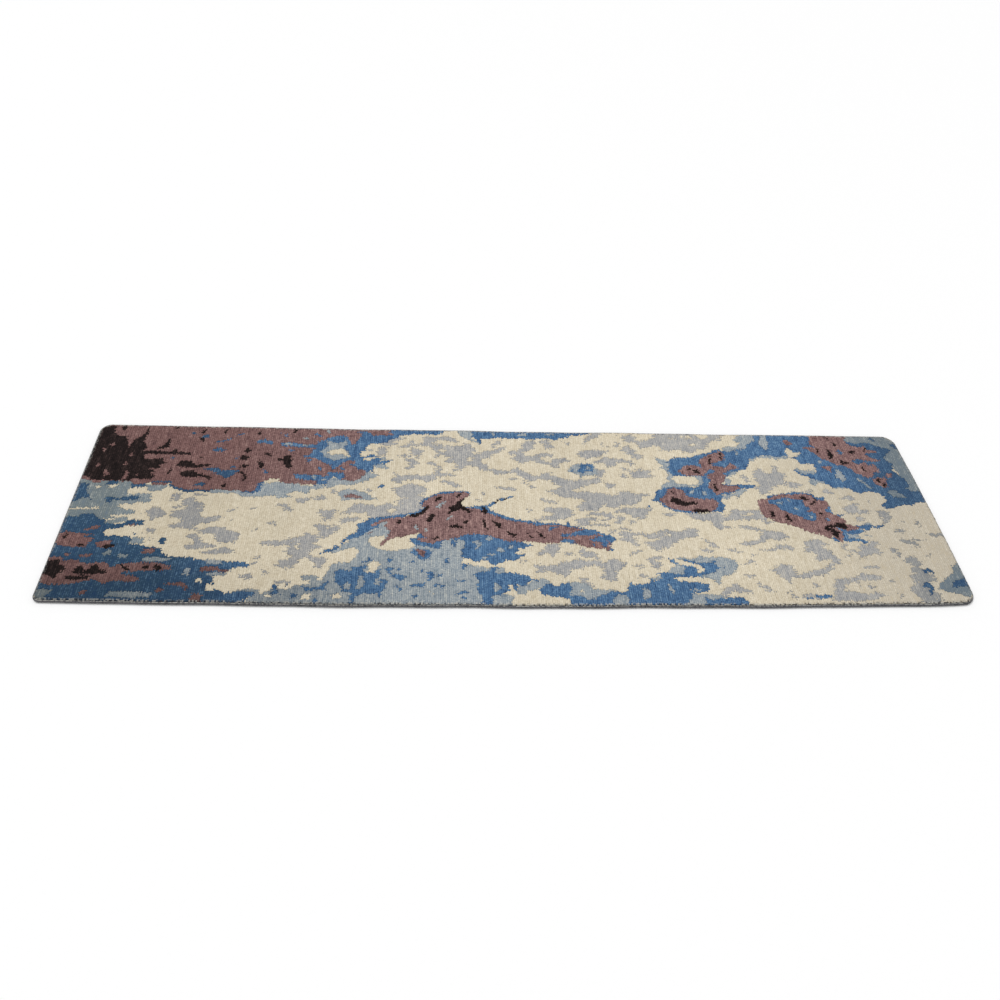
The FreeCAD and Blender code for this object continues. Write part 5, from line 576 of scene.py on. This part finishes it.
class Nodes:
    """Short calls for building one material's node tree."""

    def __init__(self, name):
        """A new material, with its shader and the place being shaded."""
        self.material = bpy.data.materials.new(name)
        self.material.use_nodes = True
        self.tree = self.material.node_tree
        self.shader = self.tree.nodes["Principled BSDF"]
        self.position = self.add("ShaderNodeTexCoord").outputs["Object"]

    def add(self, kind, **settings):
        """A new node, with its settings."""
        node = self.tree.nodes.new(kind)
        for key, value in settings.items():
            setattr(node, key, value)
        return node

    def put(self, socket, value):
        """A value or another node's output, into a socket."""
        if isinstance(value, bpy.types.NodeSocket):
            self.tree.links.new(value, socket)
        else:
            socket.default_value = value

    def math(self, operation, a, b=0.0, c=0.0):
        """One sum on up to three numbers."""
        node = self.add("ShaderNodeMath", operation=operation)
        for socket, value in zip(node.inputs, (a, b, c)):
            self.put(socket, value)
        return node.outputs[0]

    def times(self, first, *others):
        """Numbers multiplied in order."""
        for other in others:
            first = self.math("MULTIPLY", first, other)
        return first

    def swing(self, value, share):
        """One, plus a share of a value."""
        return self.math("MULTIPLY_ADD", value, share, 1.0)

    def attribute(self, name):
        """A number that the mesh carries at its vertices."""
        node = self.add("ShaderNodeAttribute", attribute_name=name)
        return node.outputs["Fac"]

    def axis(self, name):
        """One coordinate of the place being shaded."""
        node = self.add("ShaderNodeSeparateXYZ")
        self.put(node.inputs[0], self.position)
        return node.outputs[name]

    def scaled(self, vector, scale, offset=(0, 0, 0)):
        """A vector, stretched and then shifted."""
        node = self.add("ShaderNodeVectorMath", operation="MULTIPLY_ADD")
        self.put(node.inputs[0], vector)
        node.inputs[1].default_value = scale
        node.inputs[2].default_value = offset
        return node.outputs[0]

    def snapped(self, vector, step):
        """A vector, rounded down to a grid."""
        node = self.add("ShaderNodeVectorMath", operation="SNAP")
        self.put(node.inputs[0], vector)
        node.inputs[1].default_value = step
        return node.outputs[0]

    def noise(self, vector, scale, detail=2.0, roughness=0.5):
        """Smooth noise from 0 to 1."""
        node = self.add("ShaderNodeTexNoise")
        self.put(node.inputs["Vector"], vector)
        node.inputs["Scale"].default_value = scale
        node.inputs["Detail"].default_value = detail
        node.inputs["Roughness"].default_value = roughness
        return node.outputs["Fac"]

    def white(self, vector):
        """A random number from 0 to 1 for each vector."""
        node = self.add("ShaderNodeTexWhiteNoise", noise_dimensions="3D")
        self.put(node.inputs["Vector"], vector)
        return node.outputs["Value"]

    def ramp(self, value, low, high, out_low=0.0, out_high=1.0):
        """The value carried from one range to another, and held at its ends."""
        node = self.add("ShaderNodeMapRange", clamp=True)
        for key, item in zip(("Value", "From Min", "From Max", "To Min", "To Max"),
                             (value, low, high, out_low, out_high)):
            self.put(node.inputs[key], item)
        return node.outputs[0]

    def mix(self, factor, one, two):
        """A colour between two."""
        node = self.add("ShaderNodeMix", data_type="RGBA")
        self.put(node.inputs[0], factor)
        self.put(node.inputs[6], one)
        self.put(node.inputs[7], two)
        return node.outputs[2]

    def brighten(self, colour, value):
        """A colour, made lighter or darker by a factor."""
        node = self.add("ShaderNodeHueSaturation")
        self.put(node.inputs["Color"], colour)
        self.put(node.inputs["Value"], value)
        return node.outputs[0]

    def bump(self, height, strength, distance, under=None):
        """Relief from a height, over another relief if one is given."""
        node = self.add("ShaderNodeBump")
        node.inputs["Strength"].default_value = strength
        node.inputs["Distance"].default_value = distance
        self.put(node.inputs["Height"], height)
        if under is not None:
            self.put(node.inputs["Normal"], under)
        return node.outputs[0]


# The cells that share a brightness: tufts, streaks across the rug, and the wraps at the rim.
TUFT_CELL = (0.0050, 0.0042, 1.0)
STREAK_CELL = (0.0050, 0.042, 1.0)
STREAK_SHIFT = (0.0, 0.013, 0.0)
RIM_CELL = (0.0052, 0.0052, 1.0)

# How the ribs sway, and how ribs, tufts, streaks and lumps add up to a knot's darkness or lightness.
RIB_SWAY = 7.0
RIB_SHARE = 0.07
TUFT_SHARE = 0.26
STREAK_SHARE = 0.20
LUMP_SHARE = 0.54

# How strongly light yarn glints, how strongly at the left end, and how much of that the right end loses.
# Clouds blur where along X the change to an end's painted shade runs.
GLINTS = 0.85
LEFT_GLINTS = 0.45
RIGHT_GLINTS_LOST = 0.45
CLOUD_BLUR = 0.4

# Painted light and shade for the leaning pile: lighter round one place along the rug, except near the front
# edge, and darker at the front left. Each pair is where the effect starts and where it is full.
BRIGHT_AT = 0.3
BRIGHT_LONG = (1.1, 0.55)
BRIGHT_WIDE = (-0.36, -0.24)
BRIGHTER = 0.08
PAINTED_SHADE_LONG = (-0.40, -0.75)
PAINTED_SHADE_WIDE = (-0.16, -0.34)

# Between the tufts the pile is in shade: from this far under its top, up to this far, and that dark.
SHADE_DEEP = 0.006
SHADE_SHALLOW = 0.0022
SHADE_TONE = 0.55


def painted_end_shade(n, colour, clouds, left, right):
    """The colour darkening into the painted shade of each end, and how strongly light yarn glints on the
    way.
    """
    glints = GLINTS
    blurred = n.math("MULTIPLY_ADD", clouds, CLOUD_BLUR, n.axis("X"))
    if left is not None:
        side = n.ramp(blurred, left[1], left[2])
        colour = n.mix(side, left[0], colour)
        glints = n.math("MULTIPLY_ADD", side, GLINTS - LEFT_GLINTS, LEFT_GLINTS)
    if right is not None:
        side = n.ramp(blurred, right[1], right[2])
        colour = n.mix(side, colour, right[0])
        glints = n.times(glints, n.swing(side, -RIGHT_GLINTS_LOST))
    return colour, glints


def painted_lean_shading(n, value, front_left_shade):
    """Painted light and shade that slowly change the brightness over the rug as the pile leans."""
    from_middle = n.math("ABSOLUTE", n.math("SUBTRACT", n.axis("X"), BRIGHT_AT))
    painted_light = n.times(n.ramp(from_middle, *BRIGHT_LONG), n.ramp(n.axis("Y"), *BRIGHT_WIDE))
    painted_shade = n.times(n.ramp(n.axis("X"), *PAINTED_SHADE_LONG), n.ramp(n.axis("Y"), *PAINTED_SHADE_WIDE))
    return n.times(value, n.swing(painted_light, BRIGHTER), n.swing(painted_shade, -front_left_shade))


def rim_wraps(n, flat, shade):
    """The pile's colour, with pale and dark wraps of edge yarn showing at its rim."""
    wraps = n.white(n.snapped(flat, RIM_CELL))
    rim = n.attribute("rim")
    shade = n.mix(n.times(rim, n.ramp(wraps, 0.55, 0.75)), shade, PALE_WRAP)
    return n.mix(n.times(rim, n.ramp(wraps, 0.38, 0.20)), shade, DARK_WRAP)


def tufted(n, fibres):
    """The pile's relief: domes for tufts, ribs combed across the rug, and fibres."""
    cells = n.add("ShaderNodeTexVoronoi", feature="F1")
    n.put(cells.inputs["Vector"], n.scaled(n.position, (1, 1, 0.2)))
    cells.inputs["Scale"].default_value = 260.0
    domes = n.bump(n.ramp(cells.outputs["Distance"], 0.1, 0.75, 1.0, 0.0), 0.75, 0.0018)
    combed = n.noise(n.scaled(n.position, (1, 0.2, 0)), 190.0, 1.0)
    return n.bump(fibres, 0.4, 0.0006, n.bump(combed, 0.6, 0.0025, domes))


def wool(name, colour, deep, light, ribs, tufts, left=None, right=None, sheen=0.1, front_left_shade=0.34):
    """Cut wool pile. Left and right give each end's painted shade colour, and where along X the change
    runs.
    """
    n = Nodes(name)
    flat = n.scaled(n.position, (1, 1, 0))
    tuft = n.white(n.snapped(flat, TUFT_CELL))
    streak = n.white(n.snapped(n.scaled(flat, (1, 1, 0), STREAK_SHIFT), STREAK_CELL))
    lumps = n.noise(n.scaled(n.position, (1.0, 0.55, 0)), 75.0, 3.0, 0.6)
    clouds = n.noise(n.scaled(n.position, (2.2, 1, 0), (0.0, 0.0, 3.0)), 3.2, 3.0, 0.55)
    fibres = n.noise(n.scaled(n.position, (1, 1, 0.35)), 900.0, 2.0, 0.6)
    sway = n.noise(n.scaled(n.position, (1.0, 1.0, 0)), 22.0, 1.0)
    wave = n.math("MULTIPLY_ADD", n.axis("X"), 2 * math.pi / RIB_PITCH, n.times(sway, RIB_SWAY))
    rib = n.math("SINE", wave)

    twist = n.times(lumps, LUMP_SHARE)
    for part, share in ((streak, STREAK_SHARE), (tuft, TUFT_SHARE), (rib, RIB_SHARE)):
        twist = n.math("MULTIPLY_ADD", part, share, twist)
    base, glints = painted_end_shade(n, colour, clouds, left, right)
    shade = n.mix(n.ramp(twist, 0.47, 0.24, 0.0, 0.85), base, deep)
    shade = n.mix(n.times(n.ramp(twist, 0.54, 0.80), glints), shade, light)

    depth = n.ramp(n.axis("Z"), PILE_TOP - SHADE_DEEP, PILE_TOP - SHADE_SHALLOW, SHADE_TONE, 1.0)
    value = n.times(n.swing(rib, ribs), n.swing(n.math("SUBTRACT", tuft, 0.5), 2 * tufts),
                    n.ramp(clouds, 0.3, 0.7, 0.96, 1.04), n.ramp(fibres, 0.3, 0.7, 0.93, 1.06), depth)
    # Painted light round one place along the rug, and painted shade at the front left.
    value = painted_lean_shading(n, value, front_left_shade)

    n.put(n.shader.inputs["Base Color"], n.brighten(rim_wraps(n, flat, shade), value))
    n.put(n.shader.inputs["Roughness"], n.ramp(fibres, 0.25, 0.75, 0.82, 0.98))
    n.put(n.shader.inputs["Normal"], tufted(n, fibres))
    n.shader.inputs["Specular IOR Level"].default_value = 0.1
    n.shader.inputs["Sheen Weight"].default_value = sheen
    n.shader.inputs["Sheen Roughness"].default_value = 0.5
    n.shader.inputs["Sheen Tint"].default_value = light
    return n.material


def wrapped_wool(name, colour, deep, light):
    """Wound yarn: some dark strands, pale ones on the crest, and shade in the groove."""
    n = Nodes(name)
    strands = n.white(n.snapped(n.scaled(n.position, (1, 1, 0)), (WRAP_PITCH, WRAP_PITCH, 1.0)))
    patches = n.noise(n.scaled(n.position, (1, 1, 0)), 14.0, 3.0)
    fibres = n.noise(n.position, 1100.0, 2.0, 0.6)
    crest = n.attribute("crest")
    shade = n.mix(n.ramp(strands, 0.55, 1.0, 0.0, 0.8), colour, deep)
    shade = n.mix(n.times(crest, n.ramp(strands, 0.60, 0.15)), shade, light)
    value = n.times(n.ramp(patches, 0.3, 0.7, 0.88, 1.12), n.ramp(fibres, 0.3, 0.7, 0.86, 1.1),
                    n.ramp(n.attribute("groove"), 0.2, 0.9, 1.0, 0.30))
    n.put(n.shader.inputs["Base Color"], n.brighten(shade, value))
    n.put(n.shader.inputs["Roughness"], n.ramp(fibres, 0.25, 0.75, 0.8, 0.97))
    n.put(n.shader.inputs["Normal"], n.bump(fibres, 0.5, 0.0006))
    n.shader.inputs["Specular IOR Level"].default_value = 0.15
    n.shader.inputs["Sheen Weight"].default_value = 0.05
    n.shader.inputs["Sheen Roughness"].default_value = 0.5
    return n.material


COTTON_PITCH = 0.004


def woven_cotton(name, colour, deep):
    """Undyed cotton: weft threads over and under the warps, with slubs and a little grime."""
    n = Nodes(name)
    waves = [n.math("SINE", n.times(n.axis(axis), 2 * math.pi / COTTON_PITCH)) for axis in "XY"]
    crossing = n.times(*waves)
    threads = n.noise(n.scaled(n.position, (1, 0.15, 1)), 900.0, 2.0)
    slubs = n.noise(n.scaled(n.position, (0.3, 1, 1)), 120.0, 3.0)
    grime = n.noise(n.position, 6.0, 3.0)
    shade = n.mix(n.ramp(crossing, -0.2, -1.0, 0.0, 0.6), colour, deep)
    value = n.times(n.ramp(slubs, 0.3, 0.7, 0.92, 1.06), n.ramp(grime, 0.3, 0.7, 0.93, 1.03))
    n.put(n.shader.inputs["Base Color"], n.brighten(shade, value))
    n.put(n.shader.inputs["Roughness"], n.ramp(threads, 0.3, 0.7, 0.82, 0.95))
    weave = n.bump(crossing, 0.6, 0.0010)
    n.put(n.shader.inputs["Normal"], n.bump(threads, 0.4, 0.0005, weave))
    n.shader.inputs["Specular IOR Level"].default_value = 0.25
    return n.material


PALE_WRAP = srgb(196, 193, 184)
DARK_WRAP = srgb(62, 63, 68)
# The darker end colours and the front-left strength of each wool below are painted shade.
WOOLS = {
    "ivory": wool("ivory_wool", srgb(212, 201, 178), srgb(196, 183, 158), srgb(228, 219, 199), 0.038, 0.035,
                  left=(srgb(207, 196, 173), -0.90, -0.40), right=(srgb(193, 184, 167), 1.05, 1.50),
                  front_left_shade=0.05),
    "grey": wool("grey_wool", srgb(166, 165, 163), srgb(132, 135, 141), srgb(198, 192, 180), 0.060, 0.045,
                 left=(srgb(151, 150, 148), -1.00, -0.35), right=(srgb(140, 141, 140), 1.40, 1.60),
                 front_left_shade=0.15),
    "pale_blue": wool("pale_blue_wool", srgb(150, 158, 163), srgb(112, 126, 138), srgb(186, 187, 180),
                      0.070, 0.055, left=(srgb(113, 123, 126), -1.15, -0.80),
                      right=(srgb(112, 123, 130), 1.42, 1.60)),
    "blue": wool("blue_wool", srgb(76, 109, 145), srgb(43, 72, 110), srgb(116, 147, 173), 0.075, 0.080,
                 left=(srgb(50, 77, 102), -0.90, -0.62), right=(srgb(60, 86, 114), 1.42, 1.60)),
    "mauve": wool("mauve_wool", srgb(132, 103, 101), srgb(86, 64, 65), srgb(171, 141, 134), 0.075, 0.100,
                  left=(srgb(119, 89, 86), -0.80, -0.40)),
    "dark_brown": wool("dark_brown_wool", srgb(34, 26, 25), srgb(16, 12, 13), srgb(66, 52, 50), 0.08, 0.14,
                       sheen=0.02),
}
for yarn, piece in piles.items():
    piece.data.materials.append(WOOLS[yarn])

EDGE_YARN = wrapped_wool("edge_wool", srgb(112, 112, 114), srgb(78, 79, 84), srgb(176, 174, 168))
COTTON = woven_cotton("natural_cotton", srgb(203, 193, 172), srgb(160, 149, 128))
THREAD = wrapped_wool("sewing_thread", srgb(214, 206, 188), srgb(184, 174, 154), srgb(228, 222, 208))
for side in SIDES:
    edges[side].data.materials.append(EDGE_YARN)
    cords[side].data.materials.append(COTTON)
for side in ("left", "right"):
    webs[side].data.materials.append(COTTON)
    stitches[side].data.materials.append(THREAD)
cloth.data.materials.append(COTTON)

# ---- floor, lights and camera ----

FLOOR = 60
PAPER = (0.98, 0.98, 0.98, 1.0)
ROOM_LIGHT = 0.62
SUN_LIGHT = 1.45
SUN_SPREAD = math.radians(35)
SUN_WAY = Vector((0.35, -0.45, -1.0))
FOCAL_LENGTH = 30.96
SENSOR = 36
DOWN = math.radians(47.15)
TURN = math.radians(-5.57)
ROLL = math.radians(4.76)
EYE = (-0.2468, -1.9943, 2.2139)

floor_mesh = bpy.data.meshes.new("studio_floor")
floor_mesh.from_pydata([(-FLOOR, -FLOOR, 0), (FLOOR, -FLOOR, 0), (FLOOR, FLOOR, 0), (-FLOOR, FLOOR, 0)],
                       [], [(0, 1, 2, 3)])
floor = bpy.data.objects.new("studio_floor", floor_mesh)
bpy.context.scene.collection.objects.link(floor)
paper = Nodes("paper_floor")
grain = paper.ramp(paper.noise(paper.position, 60.0, 2.0), 0, 1, 0.995, 1.005)
paper.put(paper.shader.inputs["Base Color"], paper.brighten(PAPER, grain))
paper.shader.inputs["Roughness"].default_value = 0.9
floor_mesh.materials.append(paper.material)

world = bpy.data.worlds.new("studio")
bpy.context.scene.world = world
world.use_nodes = True
world.node_tree.nodes["Background"].inputs[0].default_value = (1.0, 1.0, 1.0, 1.0)
world.node_tree.nodes["Background"].inputs[1].default_value = ROOM_LIGHT

sun = bpy.data.lights.new("soft_overhead", "SUN")
sun.energy = SUN_LIGHT
sun.angle = SUN_SPREAD
sun_object = bpy.data.objects.new("soft_overhead", sun)
sun_object.rotation_euler = SUN_WAY.to_track_quat("-Z", "Y").to_euler()
bpy.context.scene.collection.objects.link(sun_object)

lens = bpy.data.cameras.new("camera")
lens.sensor_width = SENSOR
lens.lens = FOCAL_LENGTH
forward = Vector((-math.sin(TURN) * math.cos(DOWN), math.cos(TURN) * math.cos(DOWN), -math.sin(DOWN)))
level = Vector((math.cos(TURN), math.sin(TURN), 0))
upright = level.cross(forward)
right = level * math.cos(ROLL) + upright * math.sin(ROLL)
up = upright * math.cos(ROLL) - level * math.sin(ROLL)
camera = bpy.data.objects.new("camera", lens)
pose = Matrix((right, up, -forward)).transposed().to_4x4()
pose.translation = EYE
camera.matrix_world = pose
bpy.context.scene.collection.objects.link(camera)
bpy.context.scene.camera = camera
bpy.context.scene.view_settings.view_transform = "Standard"
